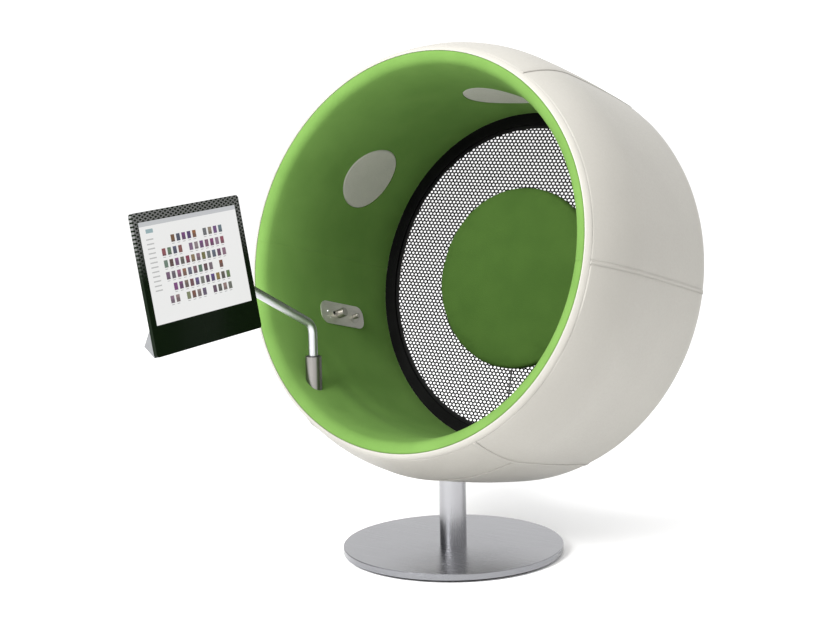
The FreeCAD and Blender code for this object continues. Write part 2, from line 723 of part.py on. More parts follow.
def build_controls():
    """Plate, sockets and knobs; Z points into the wall, so the room side is negative."""
    frame = radial_frame(PLATE_ANGLE, PLATE_STATION, LINING_RADIUS)
    sag = LINING_RADIUS - math.sqrt(LINING_RADIUS ** 2 - (PLATE_WIDTH / 2) ** 2)
    back = -sag
    face = back - PLATE_THICK
    plate = rounded_plate(PLATE_LENGTH, PLATE_WIDTH, PLATE_CORNER, face, back)
    shaft_bore = KNOB_SHAFT + RUNNING
    for station in (VOLUME_STATION, SELECTOR_STATION):
        plate = plate.cut(cylinder(shaft_bore, face, back, station, 0))
    plate = plate.cut(cylinder(JACK_RADIUS, face, back, JACK_STATION, 0))
    for station, height, radius in LED_PLACES.values():
        plate = plate.cut(cylinder(radius, face, back, station, height))
    groove = tube(
        SELECTOR_RING, SELECTOR_RING - GROOVE_WIDTH, face, face + GROOVE_DEPTH, SELECTOR_STATION, 0)
    plate = plate.cut(groove)
    in_pod("control_plate", moved(plate, frame))
    length = PLATE_LENGTH - 2 * PLATE_BORDER
    width = PLATE_WIDTH - 2 * PLATE_BORDER
    wall = CONTROL_BOX_WALL
    box = Part.makeBox(length, width, CONTROL_BOX_DEPTH, Vector(-length / 2, -width / 2, back))
    room = Part.makeBox(
        length - 2 * wall, width - 2 * wall, CONTROL_BOX_DEPTH - wall,
        Vector(wall - length / 2, wall - width / 2, back))
    in_pod("control_box", moved(box.cut(room), frame))
    mouth = face - JACK_LIP
    jack = cylinder(JACK_RADIUS, mouth, back + JACK_DEPTH, JACK_STATION, 0)
    jack = jack.cut(cylinder(JACK_BORE, mouth, back + JACK_DEPTH - JACK_END, JACK_STATION, 0))
    in_pod("headphone_jack", moved(jack, frame))
    lenses = []
    for station, height, radius in LED_PLACES.values():
        lens = cylinder(radius, face, back, station, height)
        dome = Part.makeSphere(radius, Vector(station, height, face)).common(
            cylinder(radius, face - radius, face, station, height))
        lenses.append(lens.fuse(dome).removeSplitter())
    in_pod("indicator_leds", moved(Part.makeCompound(lenses), frame))
    knobs = {
        "volume_knob": (VOLUME_STATION, VOLUME_RADIUS, VOLUME_LENGTH),
        "selector_knob": (SELECTOR_STATION, SELECTOR_RADIUS, SELECTOR_LENGTH)}
    bushes = []
    for name, (station, radius, length) in knobs.items():
        near = face - KNOB_STANDOFF
        grip = cylinder(radius, near - length, near, station, 0)
        grip = grip.makeFillet(radius * 0.12, level_edges(grip, near - length))
        shaft = cylinder(KNOB_SHAFT, near, back + KNOB_BUSH + KNOB_STANDOFF, station, 0)
        in_pod(name, moved(grip.fuse(shaft).removeSplitter(), frame))
        bushes.append(tube(KNOB_SHAFT * 2.4, shaft_bore, back, back + KNOB_BUSH, station, 0))
    in_pod("knob_bushes", moved(Part.makeCompound(bushes), frame))


# Arm socket, arm and screen

def arm_route():
    """Corner points of the arm's centre line, foot to pin."""
    foot = Vector(ARM_X, ARM_Y, SOCKET_FOOT + SOCKET_FLOOR + BODY_GAP)
    knee = Vector(ARM_X, ARM_Y, ARM_KNEE)
    pin = pin_place()
    run = Vector(pin.x - knee.x, pin.y - knee.y, 0).Length
    elbow = Vector(pin.x, pin.y, ARM_KNEE + run * math.tan(math.radians(ARM_SLOPE)))
    return foot, knee, elbow


def bent(a, corner, b, radius):
    """Line, tangent arc and the points where the arc starts and ends."""
    u = (a - corner).normalize()
    v = (b - corner).normalize()
    half = u.getAngle(v) / 2
    reach = radius / math.tan(half)
    start = corner + u * reach
    end = corner + v * reach
    middle_dir = (u + v).normalize()
    centre = corner + middle_dir * (radius / math.sin(half))
    return start, centre - middle_dir * radius, end


def sweep_tube(edges, start, direction, radius):
    path = Part.Wire(edges)
    disc = Part.Wire(Part.makeCircle(radius, start, direction))
    return path.makePipeShell([disc], True, True)


def build_arm():
    floor = SOCKET_FOOT + SOCKET_FLOOR
    pot = cylinder(SOCKET_RADIUS, SOCKET_FOOT, SOCKET_TOP, ARM_X, ARM_Y)
    save("arm_socket", pot.cut(cylinder(ARM_BUSH_RADIUS, floor, SOCKET_TOP, ARM_X, ARM_Y)))
    bore = ARM_RADIUS + RUNNING
    bush = tube(ARM_BUSH_RADIUS, bore, SOCKET_TOP - ARM_BUSH_LENGTH, SOCKET_TOP, ARM_X, ARM_Y)
    lip = tube(ARM_BUSH_RADIUS - BUSH_EDGE, bore, SOCKET_TOP, SOCKET_TOP + BUSH_LIP, ARM_X, ARM_Y)
    save("arm_bush", bush.fuse(lip).removeSplitter())
    foot, knee, elbow = arm_route()
    pin = pin_place()
    pin_low = Vector(elbow.x, elbow.y, pin.z - PIN_BELOW)
    k0, k1, k2 = bent(foot, knee, elbow, ARM_BEND)
    e0, e1, e2 = bent(knee, elbow, pin_low, ARM_BEND)
    route = [line(foot, k0), arc(k0, k1, k2), line(k2, e0), arc(e0, e1, e2), line(e2, pin_low)]
    arm = sweep_tube(route, foot, Z_AXIS, ARM_RADIUS)
    pin_rod = cylinder(PIN_RADIUS, pin_low.z, pin.z + PIN_ABOVE, elbow.x, elbow.y)
    save("arm_tube", arm.fuse(pin_rod).removeSplitter())
    brim = Part.makeCylinder(
        SOCKET_RADIUS + SOCKET_BRIM, SOCKET_BRIM_THICK + SOCKET_BRIM, Vector(0, 0, -SOCKET_BRIM))
    core = turn(face_of(core_edges(INNER_FAR)))
    brim = moved(brim, wall_hit(INNER_FAR)).cut(core).cut(socket_tool(0.0))
    in_pod("socket_flange", brim)


def core_edges(outset):
    """Outline of all that lies inside the inside profile, from the pod's axis out."""
    edges, front, back = inner_curve(outset)
    on_axis = [point(0, front.z), point(0, back.z)]
    return edges + [line(front, on_axis[0]), line(on_axis[0], on_axis[1]), line(on_axis[1], back)]


def wall_hit(outset):
    """Wall frame where the arm's upright axis meets the inside profile, moved into the wall."""
    local = POD.inverse()
    low = local.multVec(Vector(ARM_X, ARM_Y, 0))
    high = local.multVec(Vector(ARM_X, ARM_Y, SOCKET_TOP))
    for _ in range(WALL_STEPS):
        mid = (low + high) / 2
        if math.hypot(mid.x, mid.y) > inner_radius(mid.z, outset):
            low = mid
        else:
            high = mid
    reach = math.hypot(high.x, high.y)
    return radial_frame(math.degrees(math.atan2(high.x, high.y)), high.z, reach)


def screen_axes():
    a = math.radians(SCREEN_AZIMUTH)
    b = math.radians(SCREEN_LEAN)
    out = Vector(math.sin(a) * math.cos(b), -math.cos(a) * math.cos(b), math.sin(b))
    flat = Vector(math.cos(a), math.sin(a), 0)
    up = out.cross(flat)
    c = math.radians(SCREEN_ROLL)
    right = flat * math.cos(c) + up * math.sin(c)
    return right, out.cross(right), out, flat


RIGHT, UP, OUT, LEVEL = screen_axes()
SCREEN = frame_of(RIGHT, UP, OUT, SCREEN_CENTRE)


def tilt_place():
    """Middle of the tilt pin, behind the screen."""
    return SCREEN_CENTRE + UP * TILT_RISE - OUT * TILT_BACK


def pin_place():
    """Where the arm's upright pin crosses the tilt pin's line."""
    return tilt_place() + LEVEL * TILT_REACH


def build_head():
    """Head that turns on the arm's pin and carries the level tilt pin."""
    pin = pin_place()
    low = pin.z - HEAD_BLOCK_BELOW
    block = cylinder(HEAD_BLOCK_RADIUS, low, pin.z + HEAD_BLOCK_ABOVE, pin.x, pin.y)
    end = tilt_place() - LEVEL * (KNUCKLE_SPACING / 2 + KNUCKLE_WIDTH / 2 + CAP_GAP)
    bar = Part.makeCylinder(TILT_PIN, (pin - end).Length, end, LEVEL)
    bore = cylinder(PIN_RADIUS + RUNNING, low, pin.z + PIN_ABOVE + BODY_GAP, pin.x, pin.y)
    save("screen_head", block.fuse(bar).cut(bore).removeSplitter())
    save("head_cap", Part.makeCylinder(TILT_PIN + CAP_EDGE, CAP_THICK, end - LEVEL * CAP_THICK, LEVEL))


def in_screen(name, shape):
    save(name, moved(shape, SCREEN))


def build_screen():
    lower = -SCREEN_HEIGHT / 2
    view_low = VIEW_RISE - VIEW_HEIGHT / 2
    bezel = rounded_plate(SCREEN_WIDTH, SCREEN_HEIGHT, SCREEN_CORNER, -BEZEL_THICK, 0.0)
    well = PANEL_THICK + PANEL_RECESS
    window = Part.makeBox(VIEW_WIDTH, VIEW_HEIGHT, well, Vector(-VIEW_WIDTH / 2, view_low, -well))
    in_screen("screen_bezel", bezel.cut(window))
    panel = Part.makeBox(
        VIEW_WIDTH - 2 * PANEL_PLAY, VIEW_HEIGHT - 2 * PANEL_PLAY, PANEL_THICK,
        Vector(-VIEW_WIDTH / 2 + PANEL_PLAY, view_low + PANEL_PLAY, -well))
    in_screen("screen_panel", panel)
    back_low = lower + WEDGE_HEIGHT + BACK_ABOVE_TRAY
    back_high = SCREEN_HEIGHT / 2 - BACK_INSET
    wide = SCREEN_WIDTH - 2 * BACK_INSET
    tall = back_high - back_low
    foot = outline(wide, tall, BACK_CORNER, -BEZEL_THICK)
    crown = outline(
        wide - 2 * BACK_SLOPE, tall - 2 * BACK_SLOPE, BACK_CORNER, -BEZEL_THICK - BACK_DEPTH)
    shell = Part.makeLoft([foot, crown], True)
    shell.translate(Vector(0, (back_low + back_high) / 2, 0))
    in_screen("screen_back", shell)
    in_screen("screen_tray", tray_section(0.0).cut(tray_section(WEDGE_WALL)))
    build_cradle(lower)


def outline(width, height, corner, level):
    """Outer wire of a rounded rectangle at a level."""
    plate = rounded_plate(width, height, corner, level, level + 1.0)
    floor = [f for f in plate.Faces if abs(f.BoundBox.ZMax - level) < 1e-6]
    return floor[0].OuterWire


def tray_section(wall):
    """Wedge under the screen's back, moved inward by a wall's thickness on its two slopes."""
    lower = -SCREEN_HEIGHT / 2
    near = -BEZEL_THICK
    low_slope = math.hypot(WEDGE_KNEE, WEDGE_DEPTH) / WEDGE_DEPTH
    high_slope = math.hypot(WEDGE_HEIGHT - WEDGE_KNEE, WEDGE_DEPTH) / WEDGE_DEPTH
    a = Vector(0, lower + wall * low_slope, near)
    c = Vector(0, lower + WEDGE_HEIGHT - wall * high_slope, near)
    shrink = (c.y - a.y) / WEDGE_HEIGHT
    b = Vector(0, a.y + WEDGE_KNEE * shrink, near - WEDGE_DEPTH * shrink)
    half = SCREEN_WIDTH / 2 - TRAY_INSET - wall
    section = Part.Face(Part.makePolygon([a, b, c, a])).extrude(Vector(2 * half, 0, 0))
    section.translate(Vector(-half, 0, 0))
    return section


def build_cradle(lower):
    """Plate from the tray up to the tilt knuckles."""
    top = TILT_RISE + KNUCKLE_RADIUS + CRADLE_MARGIN
    low = lower + WEDGE_HEIGHT + BACK_ABOVE_TRAY
    near = -BEZEL_THICK - BACK_DEPTH
    plate = rounded_plate(CRADLE_WIDTH, top - low, CRADLE_CORNER, near - CRADLE_THICK, near)
    plate.translate(Vector(0, (top + low) / 2, 0))
    solid = moved(plate, SCREEN)
    for side in (-1, 1):
        x = side * KNUCKLE_SPACING / 2 - KNUCKLE_WIDTH / 2
        eye = Part.makeCylinder(KNUCKLE_RADIUS, KNUCKLE_WIDTH, Vector(x, TILT_RISE, -TILT_BACK), X_AXIS)
        web = Part.makeBox(
            KNUCKLE_WIDTH, 2 * KNUCKLE_RADIUS, TILT_BACK + near - CRADLE_THICK,
            Vector(x, TILT_RISE - KNUCKLE_RADIUS, -TILT_BACK))
        solid = solid.fuse(moved(eye.fuse(web), SCREEN))
    reach = KNUCKLE_SPACING + 2 * KNUCKLE_WIDTH
    bore = Part.makeCylinder(TILT_PIN + RUNNING, reach, tilt_place() - LEVEL * reach / 2, LEVEL)
    save("screen_cradle", solid.cut(bore).removeSplitter())


def build_amplifier():
    low = LINING_RADIUS + INNER_FAR
    back = AMP_STATION - AMP_LENGTH / 2
    section = ring_section(low, low + AMP_HEIGHT, back, back + AMP_LENGTH)
    in_pod("amplifier", turn(section, AMP_CENTRE - AMP_ANGLE / 2, AMP_ANGLE))


os.makedirs("parts", exist_ok=True)
build_base()
build_frame()
build_outside()
build_seams()
build_rim()
build_inside()
build_back()
build_cushion()
build_speakers()
build_controls()
build_arm()
build_head()
build_screen()
build_amplifier()
print("knee bend", ARM_BEND, "pin", pin_place(), "tilt", tilt_place())
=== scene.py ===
import json
import math

import bmesh
import bpy
import numpy as np
from mathutils import Matrix, Vector


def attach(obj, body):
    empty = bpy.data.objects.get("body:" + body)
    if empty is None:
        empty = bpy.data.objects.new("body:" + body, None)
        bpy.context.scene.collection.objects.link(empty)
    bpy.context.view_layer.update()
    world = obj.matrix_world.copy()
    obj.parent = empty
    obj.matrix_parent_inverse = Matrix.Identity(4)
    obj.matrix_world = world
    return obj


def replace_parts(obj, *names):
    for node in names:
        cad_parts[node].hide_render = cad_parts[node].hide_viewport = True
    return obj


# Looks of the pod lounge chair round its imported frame. Sizes are in metres.

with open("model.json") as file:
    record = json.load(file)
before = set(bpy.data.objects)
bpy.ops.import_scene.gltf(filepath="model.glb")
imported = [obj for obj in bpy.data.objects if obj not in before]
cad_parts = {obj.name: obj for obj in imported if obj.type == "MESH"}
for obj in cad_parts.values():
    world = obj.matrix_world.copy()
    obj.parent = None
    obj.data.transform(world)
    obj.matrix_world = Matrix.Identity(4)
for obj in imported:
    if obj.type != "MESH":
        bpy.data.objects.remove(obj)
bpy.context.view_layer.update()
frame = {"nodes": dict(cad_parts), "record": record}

# Photograph: its size, the fitted lens and the pod's middle on it are in pixels
PHOTO_WIDTH, PHOTO_HEIGHT = 840.0, 630.0
FOCAL_PIXELS = 1762.38
POD_ACROSS, POD_DOWN = 452.6, 261.17
CAMERA_AZIMUTH, CAMERA_ELEVATION, CAMERA_ROLL = (math.radians(x) for x in (36.04, 6.56, -1.0))
CAMERA_DISTANCE = 5.03501
CAMERA_TARGET = Vector((0.0, 0.02014, 0.84844))
SENSOR_WIDTH = 36.0

# Pod
TILT = math.radians(14.3)
POD_Y, POD_Z = 0.020, 0.848
BALL_RADIUS = 0.625
BELLY_RADIUS, BELLY_FRONT = 0.435, 0.198
SWEEP_RADIUS, SWEEP_BACK = 4.300, 0.350
SHOULDER_RADIUS = 0.090
COLUMN_RADIUS, COLUMN_GAP = 0.039, 0.003

# Covers
COVER_THICK = 0.006
GORES = 6
GORE_GAP = 0.0008
GORE_HALF = math.pi / GORES
COVER_STEP, COVER_COLUMNS, COVER_CROWDING = 0.006, 121, 1.25
DIP_DEPTH, DIP_WIDTH = 0.0016, 0.007
HIDE_WAVE = 0.0007
CROSS_SEAM = 0.030
SEAM_WIDTH, SEAM_RISE, SEAM_LIFT, SEAM_SUNK = 0.011, 0.0014, 0.0004, 0.0012
SEAM_WANDER = 0.0004
STITCH_ROW, STITCH_ROW_WIDTH, STITCH_ROW_DEPTH = 0.62, 0.13, 0.0007
STITCH_COLUMNS = 3, 13
STITCH_PITCH, STITCH_GAP, STITCH_THICK, STITCH_LIFT = 0.0042, 0.0013, 0.00042, 0.00025
STITCH_RINGS, STITCH_SIDES = 7, 6

# Lining
LINING_RADIUS, LINING_BACK = 0.508, -0.354
LINING_THICK, LINING_SPLIT = 0.008, 0.0001
LINING_DIP_DEPTH, LINING_DIP_WIDTH = 0.0004, 0.004
LINING_CREASE = math.radians(50)
LINING_NODES = {"upper": ["lining_upper"], "lower": ["lining_lower", "rim_lip"]}
ROLL_RUN = 0.055
SWELL_HEIGHT, FOLD_HEIGHT = 0.0009, 0.0035
WALL_FROM, WALL_TO = 0.46, 0.54
SPEAKERS = {"left": math.radians(-60), "top": 0.0, "right": math.radians(60)}
SPEAKER_RADIUS, SPEAKER_STATION, SPEAKER_GAP = 0.103, -0.118, 0.0004
GRILLE_PROUD, GRILLE_TUCK, GRILLE_TUCK_WIDTH = 0.0012, 0.0030, 0.0022
SOCKET_FOOT, SOCKET_TOP, SOCKET_HOLE = (-0.333, -0.213, 0.437), (-0.333, -0.213, 0.579), 0.0238
ROUND_COLUMNS = 360
ROUND_WAVE_AT = 0.01

# Back
RING_BAND, RING_THICK, BULKHEAD_THICK = 0.036, 0.009, 0.012
NET_LAP, NET_GAP, NET_THICK, NET_HEM = 0.008, 0.001, 0.0016, 0.016
NET_ACROSS, NET_DOWN = 0.0140, 0.0098
HOLE_ACROSS, HOLE_DOWN, HOLE_POINTS = 0.365, 0.385, 12
CUSHION_RADIUS, CUSHION_THICK, CUSHION_CROWN, CUSHION_TUCK = 0.281, 0.052, 0.016, 0.010
CUSHION_COLUMNS = 144
FILL_STEP, FILL_MOST, FILL_FRAMES, FILL_PRESSURE = 0.006, 0.006, 20, 4.0
LEAD_RADIUS = 0.0024
LEAD_ROUTE = [
    (0.0080, -0.276), (0.0081, -0.292), (0.0088, -0.330), (0.0092, -0.380), (0.0086, -0.430),
    (0.0080, -0.471)]

# Screen
SCREEN_CENTRE = Vector((-0.3220, -0.6794, 0.8714))
SCREEN_AZIMUTH, SCREEN_LEAN, SCREEN_ROLL = (math.radians(x) for x in (96.5, 9.05, 1.8))
VIEW_WIDTH, VIEW_HEIGHT, VIEW_RISE, VIEW_GAP = 0.416, 0.267, 0.027, 0.0004
PANEL_THICK, PANEL_RECESS = 0.003, 0.001

# Stage
FLOOR_REACH = 30.0
SKY_STRENGTH = 1.3
DARK_SIDE, DARK_FROM, DARK_FULL = (-0.90, -0.436, 0.0), 0.60, 0.92
LAMPS = {"key": ((-0.6, -4.4, 3.6), 2.2, 560.0), "top": ((0.8, 0.8, 4.8), 3.0, 40.0)}
LAMP_TARGET = Vector((0, 0, 0.8))

# The covers' outside is a belly arc, a long sweep and a shoulder arc, measured along its run
BELLY_TURN = math.asin(BELLY_FRONT / BELLY_RADIUS)
SWEEP_TURN = math.asin(SWEEP_BACK / SWEEP_RADIUS)
SHOULDER_AT = (
    BALL_RADIUS - SWEEP_RADIUS + (SWEEP_RADIUS - SHOULDER_RADIUS) * math.cos(SWEEP_TURN),
    -(SWEEP_RADIUS - SHOULDER_RADIUS) * math.sin(SWEEP_TURN))
BELLY_RUN = BELLY_RADIUS * BELLY_TURN
SWEEP_RUN = BELLY_RUN + SWEEP_RADIUS * SWEEP_TURN
OUTSIDE_RUN = SWEEP_RUN + SHOULDER_RADIUS * (math.pi / 2 - SWEEP_TURN)
CROSS_SEAM_RUN = BELLY_RADIUS * (BELLY_TURN - math.asin(CROSS_SEAM / BELLY_RADIUS))

# The lining's section: radius and station of points from its rolled edge to its back
LINING_POINTS = [
    (0.5621, 0.2045), (0.5622, 0.2092), (0.5600, 0.2119), (0.5545, 0.2125), (0.5470, 0.2108),
    (0.5400, 0.2072), (0.5345, 0.2022), (0.5304, 0.1960), (0.5274, 0.1880), (0.5247, 0.1775),
    (0.5221, 0.1650), (0.5176, 0.1400), (0.5147, 0.1200), (0.5113, 0.0900), (0.5091, 0.0600),
    (0.5080, 0.0200),
    (0.5080, -0.0300), (0.5080, -0.1200), (0.5080, -0.2400), (0.5080, -0.3540)]

# The section of the hide's turned edge round that roll
WELT_POINTS = [
    (0.5774, 0.1979), (0.5755, 0.2022), (0.5722, 0.2062), (0.5680, 0.2098), (0.5643, 0.2120),
    (0.5626, 0.2116), (0.5623, 0.2085), (0.5624, 0.2030), (0.5640, 0.1985), (0.5720, 0.1957)]


# Camera: at the photograph's angle, turned so that the pod's middle falls on its place

def aim_camera():
    """Camera looks back along its azimuth and elevation, then turns by the small roll and aim."""
    level = math.cos(CAMERA_ELEVATION)
    back = Vector((
        math.sin(CAMERA_AZIMUTH) * level, -math.cos(CAMERA_AZIMUTH) * level, math.sin(CAMERA_ELEVATION)))
    right = (-back).cross(Vector((0, 0, 1))).normalized()
    lower = (-back).cross(right)
    rolled = Matrix.Rotation(CAMERA_ROLL, 3, "Z") @ Matrix((right, lower, -back))
    aim = Vector((
        (POD_ACROSS - PHOTO_WIDTH / 2) / FOCAL_PIXELS, (POD_DOWN - PHOTO_HEIGHT / 2) / FOCAL_PIXELS, 1.0))
    aimed = Vector((0, 0, 1)).rotation_difference(aim.normalized()).to_matrix() @ rolled
    camera = bpy.data.objects.new("camera", bpy.data.cameras.new("camera"))
    bpy.context.scene.collection.objects.link(camera)
    camera.data.sensor_width = SENSOR_WIDTH
    camera.data.lens = FOCAL_PIXELS * SENSOR_WIDTH / PHOTO_WIDTH
    axes = Matrix((aimed[0], -aimed[1], -aimed[2])).transposed().to_4x4()
    camera.matrix_world = Matrix.Translation(CAMERA_TARGET + back * CAMERA_DISTANCE) @ axes
    camera.data.clip_end = 100.0
    bpy.context.scene.camera = camera


# Shader maths

class Wire:
    """A node's output in a finish, for sums written as Python."""

    def __init__(self, finish, socket):
        self.finish, self.socket = finish, socket

    def __add__(self, other):
        return self.finish.sum_of("ADD", self, other)

    def __sub__(self, other):
        return self.finish.sum_of("SUBTRACT", self, other)

    def __rsub__(self, other):
        return self.finish.sum_of("SUBTRACT", other, self)

    def __mul__(self, other):
        return self.finish.sum_of("MULTIPLY", self, other)

    def __truediv__(self, other):
        return self.finish.sum_of("DIVIDE", self, other)

    def __gt__(self, other):
        return self.finish.sum_of("GREATER_THAN", self, other)

    def __lt__(self, other):
        return self.finish.sum_of("LESS_THAN", self, other)

    __radd__ = __add__
    __rmul__ = __mul__


class Finish:
    """A material on the Principled shader, with short ways to its nodes."""

    def __init__(self, name, **shader):
        self.material = bpy.data.materials.new(name)
        self.material.use_nodes = True
        self.nodes = self.material.node_tree.nodes
        self.links = self.material.node_tree.links
        self.shader = next(n for n in self.nodes if n.type == "BSDF_PRINCIPLED")
        self.place = self.node("TexCoord", out="Object")
        self.set(**shader)

    def set(self, **sockets):
        """Values or wires for the shader; spaces in a socket's name are underscores here."""
        for name, value in sockets.items():
            self.join(self.shader.inputs[name.replace("_", " ")], value)
        return self

    def join(self, socket, value):
        """Gives a socket a wire, a colour or a number."""
        if isinstance(value, Wire):
            self.links.new(value.socket, socket)
        elif hasattr(value, "__len__") and socket.type == "RGBA":
            socket.default_value = (*value, 1.0)[:4]
        else:
            socket.default_value = value

    def node(self, kind, out=0, sockets=None, **settings):
        """One node: settings first, then its sockets; gives the wire of one output."""
        node = self.nodes.new("ShaderNode" + kind)
        for name, value in settings.items():
            setattr(node, name, value)
        for name, value in (sockets or {}).items():
            self.join(node.inputs[name], value)
        return Wire(self, node.outputs[out])

    def sum_of(self, operation, a, b=0.0):
        """One sum of two values, by the name of its operation."""
        return self.node("Math", sockets={0: a, 1: b}, operation=operation)

    def clamp(self, value):
        """The value, held between 0 and 1."""
        return self.node("Clamp", sockets={0: value})

    def scaled(self, scale):
        """Object coordinates, stretched on each axis."""
        return self.node("Mapping", sockets={"Vector": self.place, "Scale": scale})

    def noise(self, scale, detail=2.0, place=None, rough=0.5):
        """Cloudy noise from 0 to 1; scale is its number of waves in a metre."""
        return self.node("TexNoise", sockets={
            "Vector": place or self.place, "Scale": scale, "Detail": detail, "Roughness": rough})

    def cells(self, scale, feature):
        """Distance in a pattern of cells; scale is their number in a metre."""
        sockets = {"Vector": self.place, "Scale": scale}
        return self.node("TexVoronoi", "Distance", sockets, feature=feature)

    def along(self, axis, start=0.0):
        """How far a point lies along an axis, in metres."""
        sockets = {0: self.place, 1: tuple(axis)}
        return self.node("VectorMath", "Value", sockets, operation="DOT_PRODUCT") - start

    def mix(self, share, a, b, blend="MIX"):
        """Colour a with a share of colour b."""
        return self.node("Mix", 2, {0: share, 6: a, 7: b}, data_type="RGBA", blend_type=blend)

    def smooth(self, value, low, high):
        """0 below low, 1 above high, eased between."""
        return self.node("MapRange", 0, {
            "Value": value, "From Min": low, "From Max": high}, interpolation_type="SMOOTHSTEP")

    def patchy(self, value):
        """Noise spread out to soft patches from 0 to 1."""
        return self.smooth(value, 0.3, 0.7)

    def bump(self, height, depth, strength=1.0, under=None):
        """Normal from a height; depth is the height's full size in metres."""
        sockets = {"Height": height, "Distance": depth, "Strength": strength}
        if under:
            sockets["Normal"] = under
        return self.node("Bump", sockets=sockets)


def dim(colour, share):
    """A share of a colour's light."""
    return tuple(c * share for c in colour)


def grey(level):
    """Neutral colour of one level."""
    return level, level, level


# Finishes: noise scales are waves in a metre, depths are metres, colours are linear

def leather(name, colour):
    """Smooth dyed hide: small pebbles, faint creases and slow changes of tone."""
    f = Finish(name, Roughness=0.46, Specular_IOR_Level=0.42)
    pebbles = f.cells(620.0, "SMOOTH_F1")
    creases = f.cells(210.0, "DISTANCE_TO_EDGE")
    slow = f.noise(5.0, 3.0)
    fine = f.noise(140.0, 3.0)
    tone = f.mix(f.patchy(slow), dim(colour, 0.965), colour)
    tone = f.mix(f.smooth(fine, 0.35, 0.75) * 0.25, tone, dim(colour, 0.90))
    skin = f.bump(pebbles, 0.00022, 0.55)
    skin = f.bump(f.smooth(creases, 0.0, 0.12), 0.0002, 0.30, skin)
    skin = f.bump(slow, 0.006, 0.25, skin)
    return f.set(Base_Color=tone, Roughness=0.42 + fine * 0.12, Normal=skin).material


def felt(name, colour, deep):
    """Wool felt: matted fibres, soft mottling and a little sheen."""
    f = Finish(name, Roughness=0.92, Specular_IOR_Level=0.06, Sheen_Weight=0.04, Sheen_Roughness=0.45)
    f.set(Sheen_Tint=tuple(min(1.0, c * 1.7 + 0.05) for c in colour))
    fibres = f.noise(900.0, 4.0, rough=0.7)
    mats = f.noise(260.0, 3.0)
    cloud = f.noise(7.0, 3.0)
    tone = f.mix(f.patchy(cloud), deep, colour)
    tone = f.mix(f.smooth(fibres, 0.35, 0.70) * 0.35, tone, dim(colour, 0.72))
    nap = f.bump(fibres, 0.0005, 0.55)
    nap = f.bump(mats, 0.0012, 0.30, nap)
    return f.set(Base_Color=tone, Normal=nap).material


def woven(name, colour):
    """Plain open grille cloth: crossing threads, by their own measure of the disc."""
    f = Finish(name, Roughness=0.85, Specular_IOR_Level=0.25, Sheen_Weight=0.10)
    sockets = {"Vector": f.node("UVMap", uv_map="cloth"), "Scale": 420.0}
    warp, weft = (
        f.node("TexWave", 1, sockets, wave_type="BANDS", bands_direction=way) for way in "XY")
    threads = warp * weft
    cloud = f.noise(30.0, 3.0)
    tone = f.mix(f.smooth(threads, 0.0, 0.6), dim(colour, 0.62), colour)
    tone = f.mix(f.patchy(cloud) * 0.3, tone, dim(colour, 0.88))
    return f.set(Base_Color=tone, Normal=f.bump(threads, 0.0004, 0.5)).material


def brushed(name, colour, across, rough, contrast):
    """Brushed metal: long fine scratches; across is the pattern's scale on each axis."""
    f = Finish(name, Metallic=1.0)
    lines = f.noise(1.0, 4.0, f.scaled(across), 0.65)
    broad = f.noise(9.0, 2.0)
    tone = f.mix(f.patchy(lines), dim(colour, 1 - contrast), colour)
    f.set(Base_Color=tone, Roughness=rough + lines * 0.14 + broad * 0.05)
    return f.set(Normal=f.bump(lines, 0.00015, 0.35)).material


def moulded(name, colour, rough, grain=0.00015, gloss=0.0, shine=0.45):
    """Moulded or painted surface with a fine grain and slight unevenness."""
    f = Finish(name, Specular_IOR_Level=shine, Coat_Roughness=0.06)
    fine = f.noise(1400.0, 2.0)
    slow = f.noise(18.0, 3.0)
    tone = f.mix(f.patchy(slow) * 0.5, colour, tuple(c * 0.82 + 0.002 for c in colour))
    f.set(Base_Color=tone, Roughness=rough + slow * 0.06, Coat_Weight=gloss)
    return f.set(Normal=f.bump(fine, grain, 0.3)).material


def screen_axes():
    """Right, up and out of the screen: azimuth and lean of its face, then its roll."""
    a, b, c = SCREEN_AZIMUTH, SCREEN_LEAN, SCREEN_ROLL
    out = Vector((math.sin(a) * math.cos(b), -math.cos(a) * math.cos(b), math.sin(b)))
    flat = Vector((math.cos(a), math.sin(a), 0))
    right = flat * math.cos(c) + out.cross(flat) * math.sin(c)
    return right, out.cross(right), out


RIGHT, UP, OUT = screen_axes()


def bezel(name):
    """Gloss black with a lattice of small grey diamonds on top that fades down the sides.

    Two sets of slanted bars, each from the fraction of x / 2 plus or minus y over their pitch,
    leave the diamonds free."""
    f = Finish(name, Roughness=0.10, Specular_IOR_Level=0.06)
    x, y = (f.along(axis, axis.dot(SCREEN_CENTRE)) for axis in (RIGHT, UP))
    pitch = 0.0105
    slants = [f.sum_of("FRACT", (x * 0.5 + y) / pitch), f.sum_of("FRACT", (x * 0.5 - y) / pitch)]
    first, second = (f.smooth(s, 0.28, 0.36) * (1 - f.smooth(s, 0.92, 1.0)) for s in slants)
    lattice = 1 - first * second
    height = f.smooth(y, 0.0, 0.16)
    side = f.smooth(f.sum_of("ABSOLUTE", x), 0.19, 0.225)
    shown = lattice * height * f.clamp(side + f.smooth(y, 0.158, 0.163))
    tone = f.mix(shown, (0.0030, 0.0062, 0.0026), grey(0.12))
    return f.set(Base_Color=tone, Roughness=0.09 + f.noise(60.0, 2.0) * 0.05).material


def within(x, y, left, right, low, high):
    """1 inside an upright rectangle, 0 outside it."""
    return (x > left) * (x < right) * (y > low) * (y < high)


